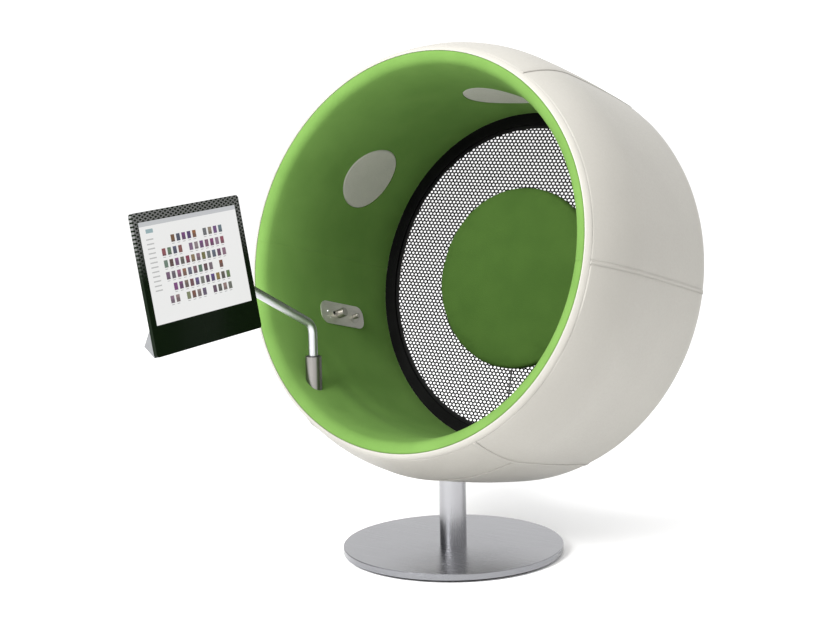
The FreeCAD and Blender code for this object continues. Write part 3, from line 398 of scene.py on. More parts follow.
def lit_page(name):
    """A lit page: a strip on top, a plain heading and menu, and rows of small coloured tiles.

    Places on it are shares of its width and height, in a tile shares of the tile's cell."""
    f = Finish(name, Roughness=0.18, Specular_IOR_Level=0.4)
    parts = f.node("SeparateXYZ", sockets={0: f.node("UVMap", uv_map="cloth")})
    x, y = (Wire(f, out) for out in parts.socket.node.outputs[:2])
    columns, rows = 12.0, 6.0
    left, right, low, high = 0.17, 0.83, 0.14, 0.84
    u, v = (x - left) * (columns / (right - left)), (y - low) * (rows / (high - low))
    cell = f.node("CombineXYZ", sockets={0: f.sum_of("FLOOR", u), 1: f.sum_of("FLOOR", v)})
    colour, number = (
        f.node("TexWhiteNoise", out, {"Vector": cell}, noise_dimensions="2D") for out in ("Color", "Value"))
    other = f.node("TexWhiteNoise", "Value", {"Vector": cell, "W": 3.0}, noise_dimensions="4D")
    fu, fv = f.sum_of("FRACT", u), f.sum_of("FRACT", v)
    there = within(x, y, left, right, low, high) * (number > 0.16)
    dark_below = f.sum_of("LESS_THAN", fv, 0.30 + 0.62 * other)
    tint = f.mix(0.62, f.mix(1.0, colour, (0.62, 0.50, 0.48), "MULTIPLY"), (0.055, 0.05, 0.055))
    tint = f.mix(dark_below * 0.45, tint, (0.05, 0.05, 0.06))
    menu_bars = f.sum_of("FRACT", y * 22.0) < 0.28
    page = f.mix(within(fu, fv, 0.16, 0.84, 0.30, 0.92) * there, (0.86, 0.86, 0.855), tint)
    page = f.mix(within(fu, fv, 0.20, 0.70, 0.14, 0.20) * there, page, grey(0.42))
    page = f.mix(y > 0.955, page, (0.55, 0.56, 0.58))
    page = f.mix(within(x, y, 0.06, 0.13, 0.885, 0.925), page, (0.30, 0.42, 0.45))
    page = f.mix(within(x, y, 0.05, 0.12, 0.30, 0.84) * menu_bars, page, grey(0.5))
    return f.set(Base_Color=grey(0.02), Emission_Color=page, Emission_Strength=0.92).material


GREEN, GREEN_DEEP = (0.110, 0.207, 0.049), (0.094, 0.182, 0.041)
CUSHION_GREEN, CUSHION_DEEP = (0.036, 0.074, 0.0140), (0.030, 0.064, 0.0118)
HIDE = (0.312, 0.300, 0.271)

# Each slot's kind of finish, its colour and what else that kind takes, in its order
LOOKS = {
    "cover_leather": (leather, HIDE),
    "lining_cloth": (felt, GREEN, GREEN_DEEP),
    "cushion_cloth": (felt, CUSHION_GREEN, CUSHION_DEEP),
    "grille_cloth": (woven, (0.50, 0.485, 0.435)),
    "ring_black": (moulded, grey(0.0015), 0.55, 0.0003, 0.0, 0.06),
    "net_black": (moulded, grey(0.002), 0.5, 0.00015, 0.0, 0.10),
    "base_steel": (brushed, (0.245, 0.248, 0.263), (4.0, 900.0, 900.0), 0.16, 0.16),
    "column_steel": (brushed, (0.33, 0.33, 0.343), (700.0, 700.0, 5.0), 0.16, 0.10),
    "inner_steel": (moulded, (0.12, 0.12, 0.125), 0.45),
    "foot_rubber": (moulded, grey(0.012), 0.8, 0.0003),
    "bearing_plastic": (moulded, grey(0.03), 0.5),
    "shell_laminate": (moulded, (0.30, 0.28, 0.23), 0.6, 0.0004),
    "foam": (moulded, (0.62, 0.58, 0.42), 0.95, 0.0008),
    "speaker_black": (moulded, grey(0.015), 0.55),
    "plate_steel": (brushed, (0.66, 0.64, 0.59), (900.0, 6.0, 900.0), 0.34, 0.12),
    "knob_steel": (brushed, (0.44, 0.42, 0.38), (500.0, 500.0, 500.0), 0.24, 0.10),
    "jack_black": (moulded, grey(0.004), 0.25, 0.0, 0.5),
    "led_white": (moulded, (0.85, 0.87, 0.9), 0.15, 0.0, 0.5),
    "socket_steel": (brushed, (0.23, 0.22, 0.21), (600.0, 600.0, 6.0), 0.24, 0.20),
    "arm_alloy": (brushed, (0.46, 0.465, 0.48), (300.0, 300.0, 300.0), 0.22, 0.05),
    "screen_black": (bezel,),
    "screen_face": (lit_page,),
    "screen_silver": (moulded, (0.30, 0.305, 0.31), 0.4),
    "tray_silver": (moulded, (0.12, 0.123, 0.127), 0.35),
    "lead_black": (moulded, grey(0.01), 0.6),
    "amplifier_black": (moulded, grey(0.02), 0.5),
}
finishes = {slot: kind(slot, *values) for slot, (kind, *values) in LOOKS.items()}


# Shapes

def in_pod(radius, angle, station):
    """World points: x is radius sin angle; radius cos angle and station turn by the pod's tilt."""
    up = radius * np.cos(angle)
    return np.stack([
        radius * np.sin(angle) + 0 * station,
        POD_Y + up * math.sin(TILT) - station * math.cos(TILT),
        POD_Z + up * math.cos(TILT) + station * math.sin(TILT)], axis=-1)


def spread(profile, angle):
    """Radius, angle and station as whole grids, from a profile's radius and station."""
    radius, station = profile
    return np.broadcast_arrays(radius, angle, station)


def outside(run, depth=0.0):
    """Covers' profile by the length run from the rim: belly arc, sweep and shoulder arc.

    Each is its centre plus its radius times (cos, sin) of a turn that falls evenly; depth
    shortens the radius. Gives the radius from the pod's axis and the station."""
    turn = np.interp(
        run, [0, BELLY_RUN, SWEEP_RUN, OUTSIDE_RUN], [BELLY_TURN, 0, -SWEEP_TURN, -math.pi / 2])
    parts = [run < BELLY_RUN, run < SWEEP_RUN]
    reach = np.select(parts, [BELLY_RADIUS, SWEEP_RADIUS], SHOULDER_RADIUS) - depth
    middle = np.select(parts, [BALL_RADIUS - BELLY_RADIUS, BALL_RADIUS - SWEEP_RADIUS], SHOULDER_AT[0])
    start = np.select(parts, [0.0, 0.0], SHOULDER_AT[1])
    return middle + reach * np.cos(turn), start + reach * np.sin(turn)


def cubics(start, end, leave, meet, count):
    """Points on the cubics from each start to its end, with the slopes leave and meet."""
    t = np.linspace(0, 1, count, endpoint=False)[None, :, None]
    start, end, leave, meet = (values[:, None] for values in (start, end, leave, meet))
    h = 2 * t ** 3 - 3 * t ** 2 + 1
    points = h * start + (t ** 3 - 2 * t ** 2 + t) * leave + (1 - h) * end + (t ** 3 - t ** 2) * meet
    return points.reshape(-1, 2)


def open_curve(points, count):
    """Smooth open line through points: each slope is that of the chords on its two sides."""
    p = np.array(points)
    step = np.linalg.norm(np.diff(p, axis=0), axis=1)
    slope = np.gradient(p, np.concatenate([[0], np.cumsum(step)]), axis=0)
    inner = cubics(p[:-1], p[1:], slope[:-1] * step[:, None], slope[1:] * step[:, None], count)
    return np.concatenate([inner, p[-1:]])


def closed_curve(points, count):
    """Smooth closed line through points: each slope is half the chord of its neighbours."""
    p = np.array(points)
    before, after, beyond = np.roll(p, 1, 0), np.roll(p, -1, 0), np.roll(p, -2, 0)
    return cubics(p, after, (after - before) / 2, (beyond - p) / 2, count)


LINING_LINE = open_curve(LINING_POINTS, 12)
LINING_LENGTHS = np.concatenate([[0], np.cumsum(np.linalg.norm(np.diff(LINING_LINE, axis=0), axis=1))])
INSIDE_RUN = LINING_LENGTHS[-1]


def inside(run, depth=0.0):
    """Lining's section by the length run from its rolled edge.

    Depth moves the point into the wall, at right angles to the curve."""
    along = np.gradient(LINING_LINE, LINING_LENGTHS, axis=0)
    along /= np.linalg.norm(along, axis=1, keepdims=True)
    radius, station, dr, ds = (
        np.interp(run, LINING_LENGTHS, column) for column in (*LINING_LINE.T, *along.T))
    return radius - depth * ds, station + depth * dr


def bell(distance, width, power=2):
    """1 at no distance, falling as e to the minus of distance over width, raised to the power."""
    return np.exp(-(distance / width) ** power)


def ripple(a, b, seed, waves, low, high):
    """Smooth unevenness from -1 to 1: a mean of sines of both values with fixed random turns."""
    rng = np.random.default_rng(seed)
    total = 0
    for _ in range(waves):
        u, v = rng.uniform(low, high, 2) * rng.choice([-1, 1], 2)
        total = total + np.sin(a * u + b * v + rng.uniform(0, 2 * math.pi))
    return total / waves


def quads(rows, columns, ring=False):
    """Corner numbers of a grid's faces; a ring's last column meets its first."""
    i, j = np.meshgrid(np.arange(rows - 1), np.arange(columns if ring else columns - 1), indexing="ij")
    k = (j + 1) % columns
    return np.stack(
        [i * columns + j, i * columns + k, (i + 1) * columns + k, (i + 1) * columns + j], -1).reshape(-1, 4)


def sheet_faces(rows, columns, ring=False):
    """Faces of a closed sheet: a face grid, a back grid and the borders between them."""
    count = rows * columns
    grid = quads(rows, columns, ring)
    edges = [np.arange(columns), (rows - 1) * columns + np.arange(columns)]
    if ring:
        edges = [np.append(e, e[0]) for e in edges]
    else:
        edges += [np.arange(rows) * columns, np.arange(rows) * columns + columns - 1]
    sides = [np.stack([e[:-1], e[1:], e[1:] + count, e[:-1] + count], -1) for e in edges]
    return np.concatenate([grid, grid[:, ::-1] + count, *sides])


def solid(name, points, faces, uv=None, merge=0.0, outwards=True):
    """A mesh object from corners and lists of their numbers.

    Corners nearer than merge become one, and outwards turns the faces that way."""
    mesh = bpy.data.meshes.new(name)
    mesh.from_pydata(np.reshape(points, (-1, 3)).tolist(), [], faces)
    if uv is not None:
        layer = mesh.uv_layers.new(name="cloth")
        corners = np.zeros(len(mesh.loops), int)
        mesh.loops.foreach_get("vertex_index", corners)
        layer.data.foreach_set("uv", np.asarray(uv, np.float32).reshape(-1, 2)[corners].ravel())
    work = bmesh.new()
    work.from_mesh(mesh)
    if merge:
        bmesh.ops.remove_doubles(work, verts=work.verts, dist=merge)
    if outwards:
        bmesh.ops.recalc_face_normals(work, faces=work.faces)
    work.to_mesh(mesh)
    work.free()
    thing = bpy.data.objects.new(name, mesh)
    bpy.context.scene.collection.objects.link(thing)
    return thing


def piece(name, points, faces, finish, smooth=True, body="pod", uv=None, merge=1e-6, outwards=True):
    """A mesh object with its finish, riding on a body."""
    thing = solid(name, points, np.asarray(faces).tolist(), uv, merge, outwards)
    return dressed(thing, finish, smooth, body)


def dressed(thing, finish, smooth=True, body="pod"):
    """Gives a mesh object its finish and the body that it rides on."""
    if smooth:
        thing.data.shade_smooth()
    thing.data.materials.append(finishes[finish])
    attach(thing, body)
    return thing


def slab(name, face, back, finish, ring=False, uv=None):
    """A closed sheet from a face grid and a back grid of points."""
    faces = sheet_faces(*face.shape[:2], ring)
    both = None if uv is None else np.concatenate([uv.reshape(-1, 2)] * 2)
    return piece(name, np.stack([face, back]), faces, finish, uv=both)


def ring_of(name, section, finish, wave=0.0, seed=1):
    """A closed profile carried round the pod's axis; it waves a little along its way."""
    radius, station = np.array(section).T[:, :, None]
    angle = np.linspace(0, 2 * math.pi, ROUND_COLUMNS, endpoint=False)[None, :]
    rng = np.random.default_rng(seed)
    wobble = sum(np.sin(k * angle + rng.uniform(0, 6.28)) / 4 for k in rng.integers(5, 31, 4))
    radius = radius + (radius - radius.mean()) * wave * wobble / ROUND_WAVE_AT
    station = station + (station - station.mean()) * wave * wobble / ROUND_WAVE_AT
    points = in_pod(*spread((radius, station), angle)).transpose(1, 0, 2)
    rows = len(section)
    faces = quads(ROUND_COLUMNS + 1, rows, ring=True) % (ROUND_COLUMNS * rows)
    return piece(name, points, faces, finish)


def apply_modifier(thing, modifier):
    """Makes a modifier's result the object's own mesh."""
    bpy.context.view_layer.objects.active = thing
    with bpy.context.temp_override(object=thing, active_object=thing, selected_objects=[thing]):
        bpy.ops.object.modifier_apply(modifier=modifier.name)


def cut(thing, tools):
    """Takes the tools' shapes out of a piece."""
    for tool in tools:
        knife = thing.modifiers.new("cut", "BOOLEAN")
        knife.object, knife.operation, knife.solver = tool, "DIFFERENCE", "EXACT"
        apply_modifier(thing, knife)
        bpy.data.objects.remove(tool)


def rod(foot, top, radius, sides=64):
    """A closed round rod between two points, for cutting."""
    foot, top = Vector(foot), Vector(top)
    axis = (top - foot).normalized()
    u = axis.orthogonal().normalized()
    v = axis.cross(u)
    turn = np.linspace(0, 2 * math.pi, sides, endpoint=False)
    ring = np.outer(np.cos(turn), u) + np.outer(np.sin(turn), v)
    points = np.stack([np.array(foot) + radius * ring, np.array(top) + radius * ring])
    caps = [list(range(sides))[::-1], list(range(sides, 2 * sides))]
    return solid("rod", points, quads(2, sides, ring=True).tolist() + caps)


# Covers

def sew_cover(name, middle, run_from, run_to):
    """One gore: its angle runs between the seams and its length along the outside profile.

    The hide dips towards each seam by a bell of the distance to it, and waves a little."""
    rows = max(24, int((run_to - run_from) / COVER_STEP))
    run = np.linspace(run_from, run_to, rows)[:, None]
    side = np.linspace(-1, 1, COVER_COLUMNS)[None, :]
    side = np.sign(side) * (1 - (1 - np.abs(side)) ** COVER_CROWDING)
    angle = middle + side * (GORE_HALF - GORE_GAP / 2 / BALL_RADIUS)
    edge = (GORE_HALF - np.abs(angle - middle)) * outside(run)[0]
    dip = DIP_DEPTH * bell(edge, DIP_WIDTH)
    for end, sewn in ((run_from, run_from > 0), (run_to, run_to < OUTSIDE_RUN)):
        if sewn:
            dip = np.maximum(dip, DIP_DEPTH * bell(run - end, DIP_WIDTH))
    wave = HIDE_WAVE * ripple(angle, run, seed=7, waves=9, low=4, high=22)
    face = in_pod(*spread(outside(run, dip - wave), angle))
    back = in_pod(*spread(outside(run, COVER_THICK), angle))
    return slab(name, face, back, "cover_leather")


def make_covers():
    """Six gores; the bottom one in two pieces, the rear one with the column's hole."""
    for k, name in enumerate(["top", "upper_right", "lower_right", "bottom", "lower_left", "upper_left"]):
        middle = k * (2 * math.pi / GORES)
        if name == "bottom":
            ahead = sew_cover("hide_bottom_front", middle, 0.0, CROSS_SEAM_RUN - GORE_GAP / 2)
            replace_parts(ahead, "cover_bottom_front")
            behind = sew_cover("hide_bottom_rear", middle, CROSS_SEAM_RUN + GORE_GAP / 2, OUTSIDE_RUN)
            cut(behind, [rod((0, 0, 0.1), (0, 0, 0.3), COLUMN_RADIUS + COLUMN_GAP)])
            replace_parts(behind, "cover_bottom_rear")
        else:
            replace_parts(sew_cover("hide_" + name, middle, 0.0, OUTSIDE_RUN), "cover_" + name)


def seam_height(across):
    """A felled seam's height: flat between two stitch rows, sunk at them, round at its edges."""
    rows = STITCH_ROW_DEPTH * bell(np.abs(across) - STITCH_ROW, STITCH_ROW_WIDTH)
    return SEAM_RISE * (1 - np.abs(across) ** 5) - rows + SEAM_LIFT


def make_seams():
    """Felled bands over the joints and their stitches."""
    across = np.linspace(-1, 1, 17)[None, :]
    run = np.linspace(0.0, OUTSIDE_RUN, 260)[:, None]
    strips = []
    for k in range(GORES):
        middle = (k + 0.5) * 2 * math.pi / GORES
        wander = SEAM_WANDER * ripple(run, run, seed=30 + k, waves=4, low=10, high=40)
        strips.append((run, middle + (across * SEAM_WIDTH / 2 + wander) / outside(run)[0]))
    reach = np.linspace(-1, 1, 200)[:, None] * (GORE_HALF - SEAM_WIDTH / 2 / BALL_RADIUS)
    strips.append((CROSS_SEAM_RUN + across * SEAM_WIDTH / 2, math.pi + reach))
    points, faces, rows, count = [], [], [], 0
    for length, angle in strips:
        length, angle = np.broadcast_arrays(length, angle)
        top = in_pod(*spread(outside(length, -seam_height(across)), angle))
        low = in_pod(*spread(outside(length, SEAM_SUNK), angle))
        faces.append(sheet_faces(*angle.shape) + count)
        points += [top.reshape(-1, 3), low.reshape(-1, 3)]
        rows += [top[:, column] for column in STITCH_COLUMNS]
        count += 2 * angle.size
    band = piece("seam_bands", np.concatenate(points), np.concatenate(faces), "cover_leather")
    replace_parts(band, "cover_seams")
    stitch("seam_stitches", rows, "cover_leather")


def stitch(name, lines, finish):
    """Thread stitches along lines of points: each is a short closed spindle on the line.

    Its radius is the thread's times the root of 1 less t to the fourth, t from -1 to 1 along it."""
    t = np.linspace(-1, 1, STITCH_RINGS)
    turn = np.linspace(0, 2 * math.pi, STITCH_SIDES, endpoint=False)[None, :, None]
    size = np.sqrt(np.clip(1 - t ** 4, 0.02, 1))[None, :, None, None]
    each = STITCH_RINGS * STITCH_SIDES
    grid = quads(STITCH_RINGS, STITCH_SIDES, ring=True)
    caps = np.arange(STITCH_SIDES), np.arange(each - STITCH_SIDES, each)[::-1]
    points, faces, count = [], [], 0
    for line in lines:
        step = np.linalg.norm(np.diff(line, axis=0), axis=1)
        length = np.concatenate([[0], np.cumsum(step)])
        places = np.arange(STITCH_PITCH / 2, length[-1] - STITCH_PITCH / 2, STITCH_PITCH)
        at = places[:, None] + t[None, :] * (STITCH_PITCH - STITCH_GAP) / 2
        spine = np.stack([np.interp(at, length, line[:, a]) for a in range(3)], -1)
        along = spine[:, -1] - spine[:, 0]
        along /= np.linalg.norm(along, axis=1, keepdims=True)
        away = spine.mean(1) - np.array([0.0, POD_Y, POD_Z])
        away -= (away * along).sum(1, keepdims=True) * along
        away /= np.linalg.norm(away, axis=1, keepdims=True)
        side = np.cross(along, away)
        ring = np.cos(turn) * side[:, None] + np.sin(turn) * away[:, None]
        tube = spine[:, :, None] + STITCH_THICK * size * ring[:, None] + STITCH_LIFT * away[:, None, None]
        starts = (count + each * np.arange(len(places)))[:, None]
        faces += (grid[None] + starts[:, None]).reshape(-1, 4).tolist()
        for cap in caps:
            faces += (cap[None] + starts).tolist()
        points.append(tube.reshape(-1, 3))
        count += each * len(places)
    return dressed(solid(name, np.concatenate(points), faces), finish)


def make_rim():
    """The hide's turned edge round the lining's roll."""
    edge = closed_curve(WELT_POINTS, 6)
    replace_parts(ring_of("welt_roll", edge, "cover_leather", 0.0001, 5), "rim_welt")


# Lining and its speakers

def fold_height(run, angle):
    """Soft folds: long low swells, more of them low on the left side, none at the border."""
    free = np.clip((run - 0.02) / 0.08, 0, 1) * np.clip((INSIDE_RUN - run) / 0.06, 0, 1)
    swells = SWELL_HEIGHT * (1 + ripple(angle, run, seed=11, waves=7, low=2, high=9))
    low_left = bell(angle + 2.55, 0.45) * bell(run - 0.22, 0.12)
    folds = FOLD_HEIGHT * low_left * (1 + np.sin(run * 42 + angle * 5)) / 2
    return free * (swells + folds)


def wall_rod(angle, station, radius):
    """A rod through the wall at right angles to it."""
    return rod(in_pod(WALL_FROM, angle, station), in_pod(WALL_TO, angle, station), radius, 128)


def make_lining():
    """Upper and lower half of the lining, each from side seam to side seam.

    The upper one has the speakers' holes, the lower one the hole of the arm's socket."""
    run = np.concatenate([
        np.linspace(0.0, ROLL_RUN, 40, endpoint=False), np.linspace(ROLL_RUN, INSIDE_RUN, 100)])[:, None]
    thick = LINING_THICK * np.clip(run / ROLL_RUN, 0.2, 1.0)
    edge = LINING_SPLIT / LINING_RADIUS
    for name, start in (("upper", -math.pi / 2), ("lower", math.pi / 2)):
        angle = start + edge + np.linspace(0, 1, 301)[None, :] * (math.pi - 2 * edge)
        border = np.minimum(angle - start, start + math.pi - angle) * inside(run)[0]
        folds = fold_height(run, np.where(angle > math.pi, angle - 2 * math.pi, angle))
        lift = folds - LINING_DIP_DEPTH * bell(border, LINING_DIP_WIDTH)
        face = in_pod(*spread(inside(run, -lift), angle))
        back = in_pod(*spread(inside(run, thick), angle))
        half = slab("felt_" + name, face, back, "lining_cloth")
        if name == "upper":
            cut(half, [wall_rod(a, SPEAKER_STATION, SPEAKER_RADIUS + SPEAKER_GAP) for a in SPEAKERS.values()])
        else:
            cut(half, [rod(SOCKET_FOOT, SOCKET_TOP, SOCKET_HOLE)])
        half.data.shade_smooth()
        half.data.set_sharp_from_angle(angle=LINING_CREASE)
        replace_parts(half, *LINING_NODES[name])


def make_speaker_covers():
    """Cloth discs on the wall: a disc of rings laid on the wall's round, tucked at its edge."""
    share = np.linspace(0, 1, 40)[:, None]
    turn = np.linspace(0, 2 * math.pi, 128, endpoint=False)[None, :]
    reach = SPEAKER_RADIUS * (1 - (1 - share) ** 1.4)
    sideways, ahead = reach * np.sin(turn), reach * np.cos(turn)
    tuck = GRILLE_TUCK * bell(SPEAKER_RADIUS - reach, GRILLE_TUCK_WIDTH, 1.5)
    levels = LINING_RADIUS - GRILLE_PROUD + tuck, LINING_RADIUS + LINING_THICK
    for name, angle in SPEAKERS.items():
        grids = [
            in_pod(level, angle + np.arcsin(sideways / level), SPEAKER_STATION + ahead) for level in levels]
        uv = np.stack([sideways, ahead], -1)
        disc = slab("grille_" + name, *grids, "grille_cloth", ring=True, uv=uv)
        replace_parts(disc, "speaker_cover_" + name)


# Back

def net_parts(radius):
    """Middles of the net's cells in staggered rows: four outer quarters and the middle."""
    rows = int(radius / NET_DOWN) + 1
    j, i = np.meshgrid(np.arange(-rows, rows + 1), np.arange(-rows, rows + 1), indexing="ij")
    x = (i + 0.5 * (j % 2)) * NET_ACROSS
    y = j * NET_DOWN
    keep = np.hypot(x, y) < radius - NET_ACROSS * 0.75
    centres = np.stack([x[keep], y[keep]], -1)
    far = np.hypot(*centres.T) > CUSHION_RADIUS - 0.02
    left, low = centres[:, 0] < 0, centres[:, 1] < 0
    shares = {
        "net_high_left": far & left & ~low, "net_high_right": far & ~left & ~low,
        "net_low_left": far & left & low, "net_low_right": far & ~left & low, "net_middle": ~far}
    return {name: centres[share] for name, share in shares.items()}


def make_net():
    """Open net: staggered oval holes in a round sheet, with a hem.

    Each cell is a six-sided patch round an oval; the sheet's face, back and hole walls are
    the same ring of points at two levels."""
    level = LINING_BACK - RING_THICK
    radius = LINING_RADIUS - RING_BAND + NET_LAP - NET_GAP
    turn = np.radians(np.arange(HOLE_POINTS) * 360.0 / HOLE_POINTS)
    oval = np.stack([np.cos(turn) * NET_ACROSS * HOLE_ACROSS, np.sin(turn) * NET_DOWN * HOLE_DOWN], -1)
    half, third = NET_ACROSS / 2, NET_DOWN / 3
    corners = np.array([
        (half, -third), (half, third), (0, 2 * third), (-half, third), (-half, -third), (0, -2 * third)])
    rim = np.stack([corners, (corners + np.roll(corners, -1, 0)) / 2], 1).reshape(-1, 2)
    cell = np.stack([np.roll(rim, -1, 0), oval])
    edge = np.arange(HOLE_POINTS, 2 * HOLE_POINTS)
    following = np.roll(edge, -1)
    for name, centres in net_parts(radius).items():
        flat = (cell[None] + centres[:, None, None]).reshape(-1, 2)
        angle, reach = np.arctan2(flat[:, 0], flat[:, 1]), np.hypot(flat[:, 0], flat[:, 1])
        levels = [in_pod(reach, angle, level - depth + 0 * reach) for depth in (0.0, NET_THICK)]
        count = len(flat)
        starts = 2 * HOLE_POINTS * np.arange(len(centres))[:, None, None]
        face = (quads(2, HOLE_POINTS, ring=True)[None] + starts).reshape(-1, 4)
        wall = np.stack([edge, following, following + count, edge + count], -1)
        faces = np.concatenate([face[:, ::-1], face + count, (wall[None] + starts).reshape(-1, 4)])
        sheet = piece(
            name, np.concatenate(levels), faces, "net_black", smooth=False, merge=2e-5, outwards=False)
        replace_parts(sheet, "back_net")
    hem = closed_curve([
        (radius - NET_HEM, level - NET_THICK * 0.95), (radius - NET_HEM, level + 0.0001),
        (radius, level), (radius, level - NET_THICK)], 3)
    ring_of("net_hem", hem, "net_black")


def make_cushion():
    """Round crowned cushion: a disc of rings with a domed face and round sides, then filled."""
    back = LINING_BACK - RING_THICK
    share = np.linspace(0, 1, 60)
    half = (CUSHION_THICK - CUSHION_CROWN) / 2
    tuck = CUSHION_RADIUS - CUSHION_TUCK
    face = np.stack([share * tuck, back + CUSHION_THICK - CUSHION_CROWN * share ** 2], -1)
    turn = np.linspace(math.pi / 2, -math.pi / 2, 14)[1:-1]
    side = np.stack([tuck + CUSHION_TUCK * np.cos(turn), back + half + half * np.sin(turn)], -1)
    under = np.stack([share[::-1] * tuck, back + 0 * share], -1)
    section = np.concatenate([face, side, under])
    angle = np.linspace(0, 2 * math.pi, CUSHION_COLUMNS, endpoint=False)[None, :]
    points = in_pod(*spread((section[:, :1], section[:, 1:]), angle))
    cushion = piece("cushion", points, quads(len(section), CUSHION_COLUMNS, ring=True), "cushion_cloth")
    swell(cushion)
    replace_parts(cushion, "back_cushion")


def corners_of(mesh):
    """A mesh's corners as rows of three."""
    values = np.zeros(len(mesh.vertices) * 3)
    mesh.vertices.foreach_get("co", values)
    return values.reshape(-1, 3)


def swell(thing):
    """Fills a pad by an even remesh and cloth with pressure.

    Each point's move is held to a limit, and no point goes behind the net."""
    remesh = thing.modifiers.new("even", "REMESH")
    remesh.mode, remesh.voxel_size = "VOXEL", FILL_STEP
    apply_modifier(thing, remesh)
    rest = corners_of(thing.data)
    cloth = thing.modifiers.new("fill", "CLOTH")
    cloth.settings.quality = 6
    cloth.settings.mass = 0.25
    cloth.settings.tension_stiffness = 18
    cloth.settings.compression_stiffness = 18
    cloth.settings.bending_stiffness = 1.2
    cloth.settings.use_pressure = True
    cloth.settings.uniform_pressure_force = FILL_PRESSURE
    cloth.settings.effector_weights.gravity = 0.0
    cloth.point_cache.frame_start, cloth.point_cache.frame_end = 1, FILL_FRAMES
    for number in range(1, FILL_FRAMES + 1):
        bpy.context.scene.frame_set(number)
    full = corners_of(thing.evaluated_get(bpy.context.evaluated_depsgraph_get()).data)
    thing.modifiers.remove(cloth)
    bpy.context.scene.frame_set(1)
    move = full - rest
    length = np.linalg.norm(move, axis=1, keepdims=True)
    moved = rest + move * np.minimum(1.0, FILL_MOST / np.maximum(length, 1e-9))
    forward = np.array([0, -math.cos(TILT), math.sin(TILT)])
    station = (moved - [0, POD_Y, POD_Z]) @ forward
    moved += np.clip(LINING_BACK - RING_THICK - station, 0, None)[:, None] * forward
    thing.data.vertices.foreach_set("co", moved.ravel())
    thing.data.update()
    thing.data.shade_smooth()


def make_back_trim():
    """Turned ring of hide between the cover's end and the bulkhead."""
    front = LINING_BACK - RING_THICK - BULKHEAD_THICK
    out, back = SHOULDER_AT[0], SHOULDER_AT[1] - SHOULDER_RADIUS
    section = closed_curve([
        (LINING_RADIUS, front), (LINING_RADIUS, back + 0.010), (LINING_RADIUS + 0.0035, back + 0.0020),
        (out - 0.002, back - 0.0002), (out, back + 0.003), (out, front)], 8)
    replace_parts(ring_of("trim_roll", section, "cover_leather", 0.0001, 9), "back_trim")


def make_lead():
    """Thin lead from under the cushion down to the ring, laid on the net."""
    level = LINING_BACK - RING_THICK + LEAD_RADIUS
    points = [tuple(in_pod(math.hypot(x, y), np.arctan2(x, y), level)) for x, y in LEAD_ROUTE]
    curve = bpy.data.curves.new("lead", "CURVE")
    curve.dimensions = "3D"
    curve.bevel_depth, curve.bevel_resolution = LEAD_RADIUS, 4
    curve.use_fill_caps = True
    line = curve.splines.new("NURBS")
    line.points.add(len(points) - 1)
    for spot, at in zip(line.points, points):
        spot.co = (*at, 1.0)
    line.order_u, line.use_endpoint_u = 3, True
    lead = bpy.data.objects.new("lead", curve)
    bpy.context.scene.collection.objects.link(lead)
    curve.materials.append(finishes["lead_black"])
    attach(lead, "pod")
    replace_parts(lead, "exciter_lead")


# Screen

def make_screen_picture():
    """The lit panel: a thin box in the screen's frame with its face's own measure as UV."""
    width, height = VIEW_WIDTH - VIEW_GAP, VIEW_HEIGHT - VIEW_GAP
    points, uv = [], []
    for level in (-PANEL_RECESS, -PANEL_RECESS - PANEL_THICK):
        for a, b in ((0, 0), (1, 0), (1, 1), (0, 1)):
            across, up = (a - 0.5) * width, (b - 0.5) * height
            points.append(SCREEN_CENTRE + RIGHT * across + UP * (VIEW_RISE + up) + OUT * level)
            uv.append((a, b))
    faces = [(0, 1, 2, 3), (7, 6, 5, 4), (0, 4, 5, 1), (1, 5, 6, 2), (2, 6, 7, 3), (3, 7, 4, 0)]
    panel = piece("lit_panel", points, faces, "screen_face", smooth=False, body="screen", uv=uv)
    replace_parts(panel, "screen_panel")


# Stage

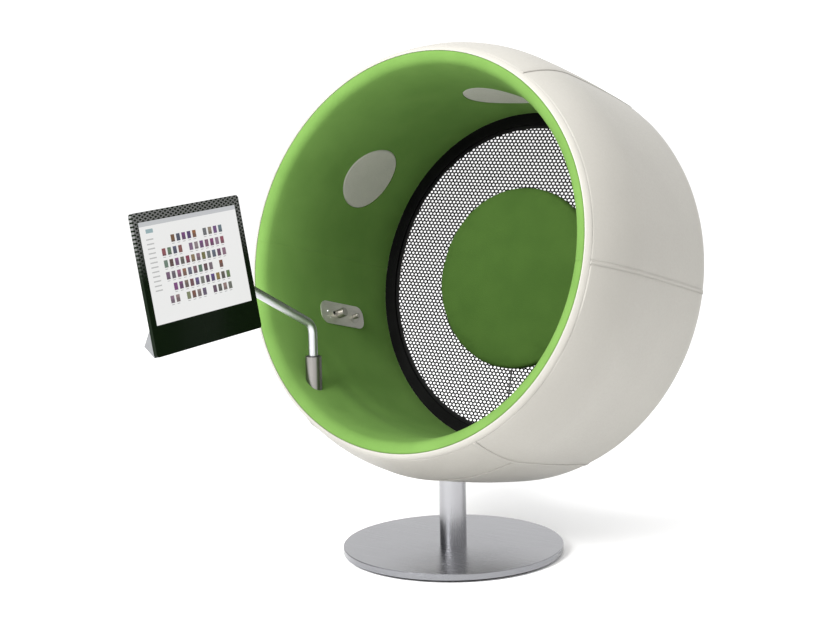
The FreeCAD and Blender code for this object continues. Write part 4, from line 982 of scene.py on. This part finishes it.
def shade_side(tree, sky):
    """White all round, with a soft darker field to one side that gives metal its dark edges."""
    look = tree.nodes.new("ShaderNodeTexCoord")
    dot = tree.nodes.new("ShaderNodeVectorMath")
    dot.operation = "DOT_PRODUCT"
    dot.inputs[1].default_value = DARK_SIDE
    tree.links.new(look.outputs["Generated"], dot.inputs[0])
    ramp = tree.nodes.new("ShaderNodeMapRange")
    ramp.interpolation_type = "SMOOTHSTEP"
    ramp.inputs["From Min"].default_value = DARK_FROM
    ramp.inputs["From Max"].default_value = DARK_FULL
    tree.links.new(dot.outputs["Value"], ramp.inputs["Value"])
    mix = tree.nodes.new("ShaderNodeMix")
    mix.data_type = "RGBA"
    mix.inputs[6].default_value = (1.0, 1.0, 1.0, 1.0)
    mix.inputs[7].default_value = (0.12, 0.12, 0.13, 1.0)
    tree.links.new(ramp.outputs["Result"], mix.inputs["Factor"])
    tree.links.new(mix.outputs[2], sky.inputs["Color"])


def make_stage():
    """A plain pale floor and plain soft light."""
    corners = [(x * FLOOR_REACH, y * FLOOR_REACH, 0) for x, y in ((-1, -1), (1, -1), (1, 1), (-1, 1))]
    floor = solid("floor", corners, [(0, 1, 2, 3)], outwards=False)
    paint = Finish("floor_paint", Roughness=0.9, Specular_IOR_Level=0.1, Base_Color=grey(0.88))
    floor.data.materials.append(paint.material)
    world = bpy.data.worlds.new("studio")
    bpy.context.scene.world = world
    world.use_nodes = True
    sky = world.node_tree.nodes["Background"]
    sky.inputs["Strength"].default_value = SKY_STRENGTH
    shade_side(world.node_tree, sky)
    for name, (place, size, power) in LAMPS.items():
        light = bpy.data.lights.new(name, "AREA")
        light.size, light.energy = size, power
        lamp = bpy.data.objects.new(name, light)
        bpy.context.scene.collection.objects.link(lamp)
        aim = LAMP_TARGET - Vector(place)
        lamp.matrix_world = Matrix.Translation(place) @ aim.to_track_quat("-Z", "Y").to_matrix().to_4x4()
    bpy.context.scene.view_settings.view_transform = "Standard"


def dress_nodes():
    """Each CAD node that shows keeps its shape and takes its finish."""
    slots = {row["node"]: row["material_slot"] for row in frame["record"]["subparts"]}
    for name, node in frame["nodes"].items():
        finish = finishes[slots[name]]
        if node.material_slots:
            for slot in node.material_slots:
                slot.material = finish
        else:
            node.data.materials.append(finish)


aim_camera()
make_stage()
dress_nodes()
make_covers()
make_seams()
make_rim()
make_lining()
make_speaker_covers()
make_net()
make_cushion()
make_lead()
make_back_trim()
make_screen_picture()
